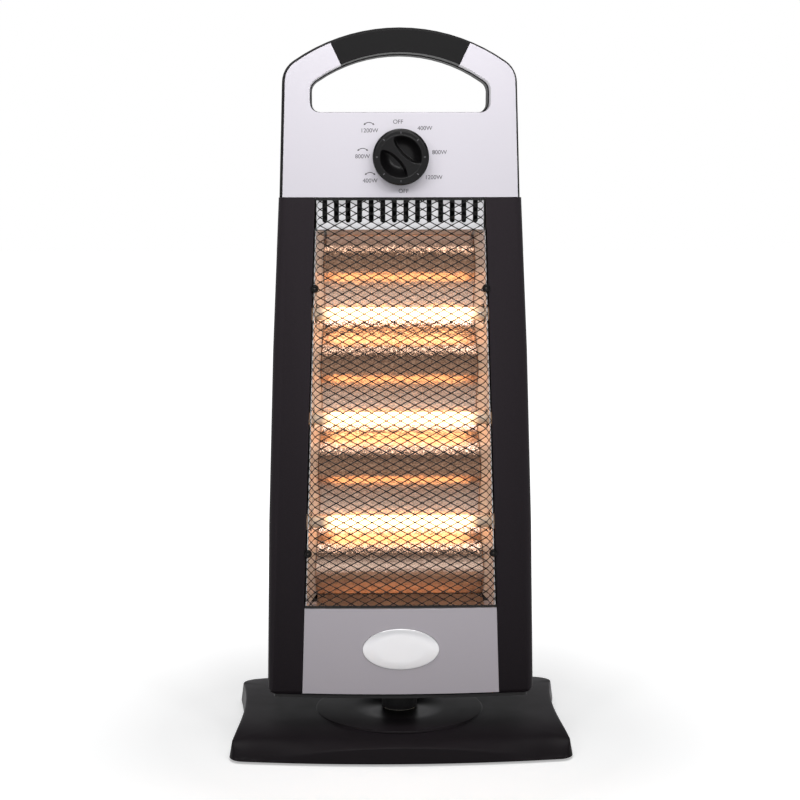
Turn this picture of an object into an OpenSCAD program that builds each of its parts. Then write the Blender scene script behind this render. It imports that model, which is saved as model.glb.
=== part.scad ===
// Free-standing oscillating halogen heater. Three quartz lamps glow in front of a
// hammered reflector, behind a mesh guard. The body turns on a wide low base.
// Millimetres, +Z up, +Y to the rear, origin on the floor under the pivot.

/* [Base] */
// Width of the base across its corners
base_w = 280; // [260:1:320]
// Depth of the base across the middle
base_d = 204; // [190:1:215]
// How far the middle of the base lies behind the pivot
base_shift = 6; // [0:0.5:10]
// Height of the base's crown above the floor
base_h = 21.3; // [20.8:0.1:27]
// Angle at which the edges of the base run into its corners
base_flare = 8.5; // [4:0.5:13]
// Radius of the base's corners
base_corner_r = 13; // [10:0.5:20]
// Height of the rim's lower edge above the floor
rim_z = 2; // [1.5:0.1:2.6]
// How far the crease lies inside the rim, as a share of the base
crease_share = 0.015; // [0.015:0.005:0.04]
// Drop of the crown towards the middle of the front edge
front_fall = 6.6; // [4:0.1:7]
// Drop of the crown towards the middle of each side edge
side_fall = 1.4; // [0.5:0.1:4]
// Drop of the crown towards the front corners
corner_fall = 8.6; // [5:0.1:9]
// Drop of the crown towards the rear corners
back_fall = 4.8; // [2:0.1:7]
// Further drop of the front crease towards its two ends
nose_fall = 15; // [8:0.5:16]
// Radius of the round disc on the base
disc_r = 71; // [60:0.5:76]
// How far the disc stands above the crown
disc_rise = 0.2; // [0.1:0.1:1.5]
// Wall of the base moulding
base_wall = 2.5; // [2:0.1:3]
// Thickness of the base's bottom cover
plate_t = 2; // [1.2:0.1:2.4]
// Radius of a rubber foot
foot_r = 9; // [6:0.5:12]
// Distance of the feet from the middle, across
foot_x = 105; // [90:1:110]
// Distance of the feet from the middle of the base, front to rear
foot_y = 66; // [56:1:70]

/* [Pivot] */
// Outer radius of the hollow spindle
spindle_r = 9; // [8:0.5:10]
// Wall of the hollow spindle
spindle_wall = 2.5; // [2:0.5:3]
// Gap of the spindle in its bush
bush_gap = 0.05; // [0.02:0.01:0.09]
// Outer radius of the bush
bush_r = 11.4; // [11:0.1:12.5]
// Outer radius of the body's pivot collar
collar_r = 15; // [14:0.5:18]
// Thickness of the thrust washer
washer_t = 1; // [0.6:0.1:1.5]
// Height of the spindle nut
nut_h = 5.5; // [4:0.5:7]
// Thickness of the slotted arm
arm_t = 3; // [2:0.5:4]
// Distance from the pivot to the motor's axis
motor_reach = 44; // [44:0.5:46]
// Radius of the crank pin's circle
crank_r = 25.2; // [23:0.1:25.5]
// Radius of the crank pin
pin_r = 2.5; // [2:0.1:3]
// Room for the crank pin on each side of its slot
slot_gap = 1.9; // [1.8:0.1:2.3]

/* [Tip-over switch] */
// Distance of the switch from the middle, across
tip_x = -60; // [-75:1:-50]
// Distance of the switch from the middle, to the rear
tip_y = 40; // [35:1:45]
// Radius of the plunger
tip_r = 2.5; // [2:0.1:3]
// Travel of the plunger when the heater is lifted
tip_travel = 4; // [3:0.5:4]

/* [Body] */
// Height of the body's lower edge above the base disc
body_lift = 25.5; // [24:0.5:32]
// Height of the lamp section, up to the cap
body_h = 407; // [395:1:440]
// Width of the body at its foot
body_w = 219.2; // [212:0.2:226]
// Width of the body under the cap
shoulder_w = 193.6; // [190:0.2:200]
// How far the sides bulge out of a straight line at mid height
side_bulge = 2.25; // [0:0.05:4]
// Distance from the pivot to the front face
front_reach = 60; // [58:0.5:64]
// Distance from the pivot to the rear face at the foot
rear_reach = 52; // [48:0.5:60]
// Depth of the handle, front to rear
handle_depth = 48; // [44:0.5:52]
// Radius to which the front face is bowed
bow_r = 700; // [600:5:1200]
// Radius of the long front edges
edge_r = 8; // [5:0.5:10]
// Radius of the long rear edges
back_r = 18; // [10:0.5:22]
// Radius of the lower edge
hem_r = 4.5; // [2:0.5:6]
// Wall of the plastic mouldings
wall = 2.4; // [2:0.1:2.6]
// Distance of the seam between front and rear mouldings behind the front face
seam_depth = 28; // [26:0.5:30]
// Thickness of the bottom cover
floor_t = 2.5; // [2:0.1:3]
// Clear width between the columns under the cap
mouth_top_w = 136; // [132:0.5:140]
// Clear width between the columns at the foot
mouth_foot_w = 162.6; // [156:0.5:165]
// Gap at the seams of the front
seam_gap = 0.4; // [0.2:0.1:0.8]

/* [Cap and handle] */
// Height of the cap with the handle
cap_h = 134.4; // [130:0.2:140]
// How far the silver front stands inside the black rear half
cap_inset = 3.2; // [2.4:0.1:4]
// How far the rear half's opening stands inside the front's
opening_lip = 0.8; // [0.4:0.1:0.9]
// Width of the cap at the shoulders
cap_top_w = 188; // [184:0.2:190]
// Radius of the handle's outer arch
arch_r = 150; // [146:1:160]
// Radius of the cap's shoulders
shoulder_r = 21; // [18:0.5:24]
// Width of the handle opening
opening_w = 143; // [136:0.5:146]
// Height of the opening's lower edge above the cap's lower edge
opening_z = 66.8; // [65:0.2:70]
// Thickness of the handle at its middle
handle_t = 21; // [19:0.2:24]
// Radius of the opening's upper arc
opening_arch_r = 118; // [112:1:124]
// Radius of the opening's upper corners
opening_top_r = 10; // [8:0.5:12]
// Radius of the opening's lower corners
opening_low_r = 8; // [5:0.5:9]
// Width of the black grip along its outer edge
grip_outer_w = 109.6; // [100:0.2:112]
// Width of the black grip along its inner edge
grip_inner_w = 93.4; // [88:0.2:98]

/* [Dial] */
// Height of the dial's centre above the cap's lower edge
dial_z = 32; // [30:0.5:34]
// Radius of the knob
knob_r = 22; // [18:0.5:23]
// Height of the knob out of the front
knob_h = 15; // [12:0.5:18]
// Thickness of the knob's flange
flange_t = 4; // [3:0.5:5]
// Radius of the round in which the scoops lie
scoop_r = 16.4; // [14:0.1:17]
// Width of the finger ridge at its narrowest
ridge_w = 6.4; // [5:0.1:8]
// Depth of the scoops
scoop_depth = 8; // [6:0.5:9]
// Angle of the ridge, clockwise from the top
pointer_angle = 135; // [0:45:315]
// Radius of the switch spindle
shaft_r = 3; // [2.5:0.1:3.5]
// Gap between the knob and the front
knob_gap = 0.8; // [0.5:0.1:1.5]

/* [Lamps and reflector] */
// Height of the lower panel
panel_h = 71.5; // [66:0.5:76]
// Distance between lamps
lamp_pitch = 85.2; // [82:0.2:88]
// Height of the middle lamp above the body's lower edge
lamp_mid = 228.6; // [224:0.1:232]
// Outer radius of a lamp tube
lamp_r = 5; // [4:0.1:5.5]
// Wall of a lamp tube
lamp_wall = 1; // [0.8:0.1:1.4]
// Length of a lamp tube
lamp_len = 160; // [156:0.5:166]
// Distance of the lamps behind the front face
lamp_depth = 16; // [15.5:0.5:18]
// Radius of a ceramic end cap
end_r = 6.5; // [6:0.1:7]
// Length of a ceramic end cap
end_len = 16; // [14:0.5:17]
// Distance of the reflector's ridges behind the front face
reflector_depth = 40; // [36:0.5:42]
// Depth of the reflector's troughs
trough_depth = 12; // [5:0.5:13]
// Thickness of the reflector sheets
sheet_t = 0.8; // [0.5:0.1:1.2]
// How far each side cheek leans in towards the rear
cheek_lean = 8.5; // [4:0.5:9]
// Height of the top plate's lower edge under the cap
vent_plate_h = 25.5; // [22:0.5:27]
// Height of the sloped wall between the top plate and the reflector
vent_slope_h = 7.5; // [6:0.5:12]
// Height of the slots' feet over the slotted plate's lower edge
vent_sill = 7.5; // [5:0.5:9]
// Number of slots in the top plate
vent_slots = 14; // [10:1:14]
// Width of a slot in the top plate
vent_slot_w = 4; // [3:0.1:5]
// Distance between the slots
vent_pitch = 9.25; // [8.5:0.05:9.3]

/* [Guard] */
// Width of a mesh opening of the guard
mesh_w = 28; // [26:0.5:34]
// Height of a mesh opening of the guard
mesh_h = 15.4; // [15:0.1:18]
// Width of a strand
strand_w = 1; // [0.8:0.1:1.6]
// Thickness of the guard's sheet
guard_t = 1; // [0.8:0.1:1.5]
// Radius of a guard clip
clip_r = 3.3; // [2.5:0.1:4]

/* [Badge] */
// Width of the oval plate
badge_w = 62.7; // [50:0.1:70]
// Height of the oval plate
badge_h = 34.3; // [28:0.1:40]
// Height of the oval plate's centre above the body's lower edge
badge_z = 40.3; // [36:0.1:44]

/* [Hidden] */
$fn = 96;
// Fineness of very large arcs
large_fn = 360;
// Overshoot of a cut past the face that it leaves
past = 1;
// Thickness of the slices that a moulding is spanned over
slice_t = 0.01;
// Gap between pieces that sit in each other
fit_gap = 0.1;

// Heights
disc_z = base_h + disc_rise;
body_z = disc_z + body_lift;
cap_z = body_z + body_h;
top_z = cap_z + cap_h;
open_z = cap_z + opening_z;
panel_z = body_z + seam_gap * 6;
chamber_z = panel_z + panel_h;
lamp_z = body_z + lamp_mid;
lamp_levels = [lamp_z + lamp_pitch, lamp_z, lamp_z - lamp_pitch];
dial_level = cap_z + dial_z;
badge_level = body_z + badge_z;
floor_z = body_z - floor_t;
arch_z = top_z - arch_r;
opening_arch_z = top_z - handle_t - opening_arch_r;

// Places front to rear
seam_y = seam_depth - front_reach;
lamp_y = lamp_depth - front_reach;
ridge_y = reflector_depth - front_reach;
guard_y = 3 - front_reach;
shield_y = ridge_y + trough_depth + 2.5;
vent_y = lamp_y - lamp_r + 2;
top_rear_y = handle_depth - front_reach;

// Half width of the body at height z
function half_w(z) =
    let (t = (z - body_z) / body_h)
    (body_w + (shoulder_w - body_w) * t) / 2 + side_bulge * 4 * t * (1 - t);

// Half width of the mouth between the columns at height z
function mouth(z) =
    (mouth_foot_w + (mouth_top_w - mouth_foot_w) * (z - body_z) / body_h) / 2;

// Rear face of the body at height z
function rear_y(z) =
    rear_reach + (top_rear_y - rear_reach) * (z - body_z) / (body_h + cap_h);

// How far the bowed front lies back at a distance x from the middle
function bow(x) = x * x / (2 * bow_r);

// Points of an arc, as [x, y] pairs
function arc(cx, cy, r, a0, a1, n) =
    [for (i = [0:n]) let (a = a0 + (a1 - a0) * i / n) [cx + r * cos(a), cy + r * sin(a)]];

// A right-hand outline from bottom to top, closed by its mirror image
function mirrored(right) =
    concat(right, [for (i = [len(right) - 1:-1:0]) if (right[i].x > 0.001) [-right[i].x, right[i].y]]);

// ---- Body outlines ----

// Plan at height z of a form that is wide to each side, drawn in by inset on all sides
function plan_right(z, inset, wide) =
    let (
        hw = wide - inset,
        re = max(edge_r - inset, 1),
        rb = max(back_r - inset, 1),
        fx = hw - re,
        fy = inset - front_reach,
        by = rear_y(z) - inset
    )
    concat(
        [for (t = [0, 0.5]) [fx * t, fy + bow(fx * t)]],
        arc(fx, fy + bow(fx) + re, re, -83, 0, 4),
        arc(hw - rb, by - rb, rb, 0, 90, 5)
    );

// Slices that span the lamp section's outer form, as [height above its foot, inset]
hem_slices = [[0, hem_r], [hem_r * 0.3, hem_r * 0.4], [hem_r, 0]];
span_shares = [0.35, 0.7];

module slice(z, inset, wide) {
    translate([0, 0, z])
        linear_extrude(slice_t)
            polygon(mirrored(plan_right(z, inset, wide)));
}

module body_form(inset) {
    low = body_z + inset;
    high = cap_z - inset - slice_t;
    hull() {
        for (s = hem_slices) slice(low + s[0], inset + s[1], half_w(low + s[0]));
        for (share = span_shares)
            let (z = body_z + body_h * share) slice(z, inset, half_w(z));
        slice(high, inset, half_w(high));
    }
}

// The cap's form, with the body's bowed front, leaning rear and round long edges
module cap_form(inset) {
    hull() {
        slice(cap_z - past, inset, shoulder_w / 2);
        slice(top_z, inset, cap_top_w / 2);
    }
}

// Extrudes an outline in x and z from y0 to y1
module along_y(y0, y1) {
    rotate([90, 0, 0])
        translate([0, 0, -y1])
            linear_extrude(y1 - y0)
                children();
}

module y_rod(x, z, r, y0, y1) {
    translate([x, y0, z])
        rotate([-90, 0, 0])
            cylinder(h = y1 - y0, r = r);
}

module x_rod(x0, x1, y, z, r) {
    translate([x0, y, z])
        rotate([0, 90, 0])
            cylinder(h = x1 - x0, r = r);
}

// Everything in front of the bowed front face is cut off, inset behind that face
module bow_drum(inset) {
    translate([0, bow_r - front_reach, 0])
        cylinder(h = top_z + past, r = bow_r - inset, $fn = large_fn);
}

// Everything on one side of the mouth, at least off beyond its edge
module beside_mouth(side, off) {
    far = body_w;
    along_y(-far, far)
        polygon([
            [side * (mouth(body_z - past) + off), body_z - past],
            [side * (mouth(cap_z + past) + off), cap_z + past],
            [side * far, cap_z + past],
            [side * far, body_z - past]
        ]);
}

// The outline between the columns from z0 to z1, gap inside them
module between_columns(z0, z1, gap) {
    polygon([
        [-mouth(z0) + gap, z0],
        [mouth(z0) - gap, z0],
        [mouth(z1) - gap, z1],
        [-mouth(z1) + gap, z1]
    ]);
}

// ---- Case screws ----

screw_r = 1.5;
screw_head_r = 3;
screw_head_t = 2.2;
boss_r = 4;
rear_boss_r = 5.5;
screw_reach = 10;
grip_screw_x = 30;
column_screw_levels = [body_z + 43, cap_z - 54];
column_screw_edge = 13;

function column_screws(side) =
    [for (z = column_screw_levels) [side * (half_w(z) - column_screw_edge), z]];

cap_screws = [for (side = [-1, 1]) [side * (cap_top_w / 2 - 16), cap_z + 22]];

// Middle of the handle's thickness over x
function handle_mid(x) =
    (arch_z + sqrt(arch_r * arch_r - x * x)
        + opening_arch_z + sqrt(opening_arch_r * opening_arch_r - x * x)) / 2;

grip_screws = [for (side = [-1, 1]) [side * grip_screw_x, handle_mid(grip_screw_x)]];

module front_bosses(places) {
    for (p = places)
        y_rod(p.x, p.y, boss_r, bow(p.x) + wall / 2 - front_reach, seam_y);
}

module front_boss_holes(places) {
    for (p = places)
        y_rod(p.x, p.y, screw_r - fit_gap, seam_y - screw_reach - past, seam_y + past);
}

module rear_bosses(places) {
    for (p = places)
        y_rod(p.x, p.y, rear_boss_r, seam_y, rear_y(p.y) - wall / 2);
}

module rear_boss_holes(places) {
    for (p = places) {
        y_rod(p.x, p.y, screw_r + fit_gap, seam_y - past, rear_reach);
        y_rod(p.x, p.y, screw_head_r + fit_gap, seam_y + screw_reach, rear_reach + past);
    }
}

module case_screws() {
    color("dimgray")
        for (p = concat(column_screws(-1), column_screws(1), cap_screws, grip_screws)) {
            y_rod(p.x, p.y, screw_r - fit_gap, seam_y - screw_reach, seam_y + screw_reach);
            y_rod(p.x, p.y, screw_head_r, seam_y + screw_reach, seam_y + screw_reach + screw_head_t);
        }
}

// ---- Base ----

base_half_x = base_w / 2 - base_corner_r;
base_bow = (base_half_x + base_corner_r * sin(base_flare)) * tan(base_flare) / 2;
base_half_y = base_d / 2 - base_corner_r * cos(base_flare) - base_bow;
base_side_y = base_half_y - base_corner_r * sin(base_flare);
base_front_x = base_half_x + base_corner_r * sin(base_flare);
base_side_x = base_half_x + base_corner_r * cos(base_flare);
base_waist = base_side_y * tan(base_flare) / 2;

// One quarter of the base's plan, from the front's middle to the side's middle
base_quarter = concat(
    [for (i = [0:4]) let (t = i / 5) [base_front_x * t, base_bow * t * t - base_d / 2]],
    arc(base_half_x, -base_half_y, base_corner_r, base_flare - 90, base_flare, 6),
    [for (i = [4:-1:1]) let (t = i / 5) [base_side_x - base_waist * (1 - t * t), -base_side_y * t]]
);
base_turned = [for (i = [len(base_quarter) - 1:-1:1]) [base_quarter[i].x, -base_quarter[i].y]];
base_right = concat(
    base_quarter,
    [[base_side_x - base_waist, 0]],
    base_turned,
    [[0, base_d / 2]]
);
base_left = [for (i = [len(base_right) - 2:-1:1]) [-base_right[i].x, base_right[i].y]];
base_outline = concat(base_right, base_left);

// How squarely each point of the plan faces the front, from 0 to 1
base_front = [
    for (i = [0:len(base_outline) - 1])
        let (
            d = base_outline[(i + 1) % len(base_outline)]
                - base_outline[(i + len(base_outline) - 1) % len(base_outline)]
        )
        pow(max(d.x, 0) / norm(d), 2)
];

// Crown of the base over a point of its plan, measured from the middle of the base
function crown(x, y) =
    let (
        u = abs(x) / (base_w / 2),
        front = pow(max(-y / (base_d / 2), 0), 4),
        back = pow(max(y / (base_d / 2), 0), 4)
    )
    base_h - front_fall * front
    - u * u * (side_fall + (corner_fall - side_fall) * front + (back_fall - side_fall) * back);

nose_start = 0.82;
crown_rings = [0.3, 0.55, 0.72, nose_start, 0.9, 0.95, 1 - crease_share];

// Further drop of the front's edge, which grows towards the ends of the crease
function nose(i, share) =
    nose_fall * base_front[i]
    * pow(abs(base_outline[i].x) / (base_w / 2), 2.2)
    * pow(max(share - nose_start, 0) / (1 - crease_share - nose_start), 2);

function base_ring(share, k, drop, least) =
    [for (i = [0:len(base_outline) - 1])
        let (x = base_outline[i].x * share * k, y = base_outline[i].y * share * k)
        [x, y + base_shift, max(crown(x, y) - nose(i, share) - drop, least)]];

function level_ring(share, z) =
    [for (p = base_outline) [p.x * share, p.y * share + base_shift, z]];

// Closed dome over the base's plan, drawn in by inset, let down by drop and nowhere below least
module base_dome(inset, drop, z0, least) {
    n = len(base_outline);
    k = 1 - inset / (base_d / 2);
    rings = [for (s = crown_rings) base_ring(s, k, drop, least)];
    levels = concat(rings, [level_ring(k, z0)]);
    count = len(levels);
    points = concat(
        [[0, base_shift, base_h - drop]],
        [for (ring = levels) each ring],
        [[0, base_shift, z0]]
    );
    last = count * n + 1;
    polyhedron(
        points,
        concat(
            [for (i = [0:n - 1]) [0, 1 + (i + 1) % n, 1 + i]],
            [for (r = [0:count - 2], i = [0:n - 1])
                let (a = 1 + r * n, b = a + n, j = (i + 1) % n)
                each [[a + i, a + j, b + j], [a + i, b + j, b + i]]],
            [for (i = [0:n - 1])
                let (a = 1 + (count - 1) * n)
                [a + i, a + (i + 1) % n, last]]
        )
    );
}

flange_r = spindle_r + 15;
flange_top = base_h - 7.3;
spindle_flange_t = 3;
spindle_screw_r = spindle_r + 9.5;
base_screw_places = [for (sx = [-1, 1], sy = [-1, 1]) [sx * (foot_x - 22), sy * foot_y + base_shift]];
foot_places = [for (sx = [-1, 1], sy = [-1, 1]) [sx * foot_x, sy * foot_y + base_shift]];
cover_z = rim_z + plate_t;

module base_shell() {
    color([0.13, 0.12, 0.12])
        difference() {
            union() {
                base_dome(0, 0, rim_z, rim_z + 1);
                translate([0, 0, rim_z + past])
                    cylinder(h = disc_z - rim_z - past, r = disc_r);
            }
            difference() {
                base_dome(base_wall, base_wall, rim_z - past, cover_z + seam_gap);
                translate([0, 0, flange_top])
                    cylinder(h = base_h, r = flange_r + 2);
                for (p = base_screw_places)
                    translate([p.x, p.y, cover_z])
                        cylinder(h = crown(p.x, p.y - base_shift) - cover_z - base_wall / 2, r = boss_r);
            }
            cylinder(h = disc_z + past, r = spindle_r + fit_gap);
            for (i = [0:3])
                rotate(45 + 90 * i)
                    translate([spindle_screw_r, 0, 0])
                        cylinder(h = flange_top + 5.5, r = screw_r - fit_gap);
            for (p = base_screw_places)
                translate([p.x, p.y, 0])
                    cylinder(h = cover_z + 7.5, r = screw_r - fit_gap);
        }
}

module base_plate() {
    share = 1 - (base_wall + seam_gap) / (base_d / 2) - crease_share;
    color([0.2, 0.2, 0.2])
        difference() {
            translate([0, base_shift, rim_z])
                linear_extrude(plate_t)
                    polygon([for (p = base_outline) p * share]);
            for (p = foot_places)
                translate([p.x, p.y, 0])
                    cylinder(h = cover_z + past, r = foot_r / 3 + fit_gap);
            for (p = base_screw_places)
                translate([p.x, p.y, 0])
                    cylinder(h = cover_z + past, r = screw_r + fit_gap);
            translate([tip_x, tip_y, 0])
                cylinder(h = cover_z + past, r = tip_r + 0.6);
        }
}

module base_feet() {
    color([0.1, 0.1, 0.1])
        for (p = foot_places)
            translate([p.x, p.y, 0]) {
                cylinder(h = rim_z, r = foot_r);
                cylinder(h = cover_z + 2, r = foot_r / 3);
            }
}

module base_screws() {
    head_t = rim_z * 0.6;
    color("dimgray") {
        for (p = base_screw_places)
            translate([p.x, p.y, rim_z - head_t]) {
                cylinder(h = head_t, r = screw_head_r);
                cylinder(h = plate_t + head_t + 7, r = screw_r - fit_gap);
            }
        for (i = [0:3])
            rotate(45 + 90 * i)
                translate([spindle_screw_r, 0, flange_top - spindle_flange_t - head_t]) {
                    cylinder(h = head_t, r = screw_head_r);
                    cylinder(h = head_t + spindle_flange_t + 5, r = screw_r - fit_gap);
                }
    }
}

// ---- Tip-over switch ----

tip_floor = cover_z + 1.5;
tip_roof = base_h - 5.3;
tip_top_wall = 1.4;
tip_collar_t = 1.4;
tip_collar_z = tip_floor + tip_travel + 0.2;
tip_room_r = tip_r + 3;

module tip_switch() {
    color([0.75, 0.72, 0.66])
        translate([tip_x, tip_y, 0])
            difference() {
                translate([-12, -9, cover_z])
                    cube([24, 18, tip_roof + tip_top_wall - cover_z]);
                translate([0, 0, tip_floor])
                    cylinder(h = tip_roof - tip_floor, r = tip_room_r);
                translate([0, 0, cover_z - past])
                    cylinder(h = base_h, r = tip_r + bush_gap);
            }
}

module tip_plunger() {
    color("white")
        translate([tip_x, tip_y, 0]) {
            cylinder(h = tip_roof + 0.8, r = tip_r);
            translate([0, 0, tip_collar_z])
                cylinder(h = tip_collar_t, r = tip_room_r - 0.6);
        }
}

module tip_spring() {
    z0 = tip_collar_z + tip_collar_t;
    color("silver")
        translate([tip_x, tip_y, z0])
            difference() {
                cylinder(h = tip_roof - z0, r = tip_room_r - 0.9);
                translate([0, 0, -past])
                    cylinder(h = tip_roof, r = tip_r + 0.5);
            }
}

// ---- Pivot and drive ----

collar_z = disc_z + washer_t + fit_gap;
boss_top = body_z + 5;
bush_flange_t = 1.5;
nut_z = boss_top + bush_flange_t + 0.5;
arm_z = nut_z + nut_h + 0.5;
clip_t = 1;
spindle_top = arm_z + arm_t + clip_t;
crank_z = spindle_top + 0.5;
crank_t = 3.5;
motor_z = crank_z + crank_t + 2;
motor_r = 25;
motor_h = 17;
motor_flange_t = 1.5;
post_r = 4;
post_angle = 108;
post_reach = 40;
slot_in = motor_reach - crank_r - pin_r - 0.8;
slot_out = motor_reach + crank_r + pin_r + 1;
slot_r = pin_r + slot_gap;
arm_edge = 3;
key_x = spindle_r - 1;

module pivot_spindle() {
    color("silver")
        difference() {
            union() {
                translate([0, 0, flange_top - spindle_flange_t])
                    cylinder(h = spindle_flange_t, r = flange_r);
                translate([0, 0, flange_top - spindle_flange_t])
                    cylinder(h = spindle_top - flange_top + spindle_flange_t, r = spindle_r);
            }
            cylinder(h = spindle_top + past, r = spindle_r - spindle_wall);
            translate([-spindle_r * 2 - key_x, -spindle_r, arm_z])
                cube([spindle_r * 2, spindle_r * 2, spindle_top]);
            for (i = [0:3])
                rotate(45 + 90 * i)
                    translate([spindle_screw_r, 0, 0])
                        cylinder(h = flange_top + past, r = screw_r + fit_gap);
        }
}

module thrust_washer() {
    color("ivory")
        translate([0, 0, disc_z])
            difference() {
                cylinder(h = washer_t, r = collar_r - 1);
                translate([0, 0, -past])
                    cylinder(h = washer_t + 2 * past, r = spindle_r + 0.5);
            }
}

module spindle_nut() {
    color("silver")
        translate([0, 0, nut_z])
            difference() {
                cylinder(h = nut_h, r = spindle_r + 5.5, $fn = 6);
                translate([0, 0, -past])
                    cylinder(h = nut_h + 2 * past, r = spindle_r + fit_gap / 5);
            }
}

module drive_arm() {
    color("silver")
        translate([0, 0, arm_z])
            difference() {
                union() {
                    cylinder(h = arm_t, r = spindle_r + 4);
                    translate([0, -slot_r - arm_edge, 0])
                        cube([slot_out - slot_r, (slot_r + arm_edge) * 2, arm_t]);
                    translate([slot_out - slot_r, 0, 0])
                        cylinder(h = arm_t, r = slot_r + arm_edge);
                }
                translate([0, 0, -past])
                    intersection() {
                        cylinder(h = arm_t + 2 * past, r = spindle_r + fit_gap / 5);
                        translate([-key_x - fit_gap, -spindle_r - past, 0])
                            cube([spindle_r * 3, (spindle_r + past) * 2, arm_t + 2 * past]);
                    }
                translate([slot_in + slot_r, -slot_r, -past])
                    cube([slot_out - slot_in - 2 * slot_r, slot_r * 2, arm_t + 2 * past]);
                for (x = [slot_in + slot_r, slot_out - slot_r])
                    translate([x, 0, -past])
                        cylinder(h = arm_t + 2 * past, r = slot_r);
            }
}

module arm_clip() {
    color("dimgray")
        translate([0, 0, arm_z + arm_t])
            difference() {
                cylinder(h = clip_t, r = spindle_r + 2.5);
                translate([0, 0, -past])
                    cylinder(h = clip_t + 2 * past, r = spindle_r + fit_gap / 5);
                translate([-spindle_r * 2 - 4, -spindle_r - 4, -past])
                    cube([spindle_r + 8, spindle_r * 2 + 8, clip_t + 2 * past]);
            }
}

post_places = [
    for (side = [-1, 1])
        [motor_reach + post_reach * cos(post_angle), side * post_reach * sin(post_angle)]
];

module body_floor() {
    color([0.12, 0.12, 0.12])
        difference() {
            union() {
                translate([0, 0, floor_z])
                    linear_extrude(floor_t)
                        polygon(mirrored(plan_right(body_z, hem_r + 0.5, half_w(body_z))));
                translate([0, 0, collar_z])
                    cylinder(h = boss_top - collar_z, r = collar_r);
                for (p = post_places)
                    translate([p.x, p.y, floor_z + past])
                        cylinder(h = motor_z - floor_z - past, r = post_r);
            }
            translate([0, 0, collar_z - past])
                cylinder(h = boss_top - collar_z + 2 * past, r = bush_r);
        }
}

module swivel_bush() {
    color("ivory")
        difference() {
            union() {
                translate([0, 0, collar_z + 0.3])
                    cylinder(h = boss_top - collar_z - 0.3, r = bush_r - fit_gap / 5);
                translate([0, 0, boss_top])
                    cylinder(h = bush_flange_t, r = bush_r + 3);
            }
            translate([0, 0, collar_z - past])
                cylinder(h = boss_top, r = spindle_r + bush_gap);
        }
}

module osc_motor() {
    color("silver")
        difference() {
            union() {
                translate([motor_reach, 0, motor_z + motor_flange_t])
                    cylinder(h = motor_h, r = motor_r);
                translate([post_places[0].x - 6, -post_places[1].y - 6, motor_z])
                    cube([12, post_places[1].y * 2 + 12, motor_flange_t]);
                translate([motor_reach, 0, motor_z])
                    cylinder(h = motor_flange_t, r = motor_r + 1);
            }
            translate([motor_reach, 0, motor_z - past])
                cylinder(h = motor_h - 2, r = shaft_r + bush_gap);
        }
}

module crank() {
    color("gold")
        translate([motor_reach, 0, 0]) {
            translate([0, 0, crank_z])
                cylinder(h = crank_t + motor_h - 3, r = shaft_r);
            translate([0, 0, crank_z])
                cylinder(h = crank_t, r = 7);
            translate([0, -pin_r - 2, crank_z])
                cube([crank_r, (pin_r + 2) * 2, crank_t]);
            translate([crank_r, 0, crank_z])
                cylinder(h = crank_t, r = pin_r + 2);
            translate([crank_r, 0, arm_z])
                cylinder(h = crank_z + past - arm_z, r = pin_r);
        }
}

// ---- Columns and rear cover ----

lamp_port_r = end_r + 2;

module column(side) {
    color([0.2, 0.19, 0.19])
        difference() {
            intersection() {
                body_form(0);
                beside_mouth(side, 0);
                translate([-body_w, -body_w, 0])
                    cube([body_w * 2, body_w + seam_y, top_z]);
            }
            difference() {
                intersection() {
                    body_form(wall);
                    beside_mouth(side, wall);
                }
                front_bosses(column_screws(side));
            }
            front_boss_holes(column_screws(side));
            for (z = lamp_levels)
                translate([side * (mouth(z) + wall / 2), lamp_y, z])
                    rotate([0, 90, 0])
                        cylinder(h = wall * 4, r = lamp_port_r, center = true);
        }
}

module column_left() { column(-1); }
module column_right() { column(1); }

vent_rows = 7;
back_slot_w = 90;
back_slot_h = 3;
back_slot_step = 8;
low_vent_z = body_z + 75;
high_vent_z = cap_z - 78;
gland_x = -62;
gland_z = body_z + 26;
gland_r = 6;
gland_bore_r = 4;
wire_x = -40;
wire_r = 2;
wire_y = shield_y + sheet_t + wire_r + 0.2;

module back_vents() {
    for (z0 = [low_vent_z, high_vent_z], i = [0:vent_rows - 1])
        translate([-back_slot_w / 2, 0, z0 + i * back_slot_step])
            cube([back_slot_w, rear_reach + past, back_slot_h]);
}

module wire_way() {
    translate([wire_x - 12, wire_y - 4, cap_z - wall * 2])
        cube([24, 8, wall * 4]);
}

// The rear cover's open bottom, which the floor plate closes
module rear_mouth() {
    translate([0, 0, body_z - past])
        linear_extrude(wall + 2 * past)
            polygon(mirrored(plan_right(body_z, hem_r + wall * 2, half_w(body_z))));
}

module rear_shell() {
    sides = concat(column_screws(-1), column_screws(1));
    color([0.14, 0.13, 0.13])
        difference() {
            intersection() {
                body_form(0);
                translate([-body_w, seam_y, 0])
                    cube([body_w * 2, body_w, top_z]);
            }
            difference() {
                body_form(wall);
                rear_bosses(sides);
            }
            rear_boss_holes(sides);
            back_vents();
            y_rod(gland_x, gland_z, gland_r, 0, rear_reach + past);
            wire_way();
            rear_mouth();
        }
}

module cord_gland() {
    y = rear_y(gland_z);
    color([0.1, 0.1, 0.1])
        difference() {
            union() {
                y_rod(gland_x, gland_z, gland_r - fit_gap, y - wall - 4, y + 2);
                y_rod(gland_x, gland_z, gland_r + 2, y + 1.2, y + 3);
                y_rod(gland_x, gland_z, gland_r + 2, y - wall - 5, y - wall - 1.6);
            }
            y_rod(gland_x, gland_z, gland_bore_r, y - wall - 8, y + 6);
        }
}

// ---- Cap and handle ----

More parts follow.
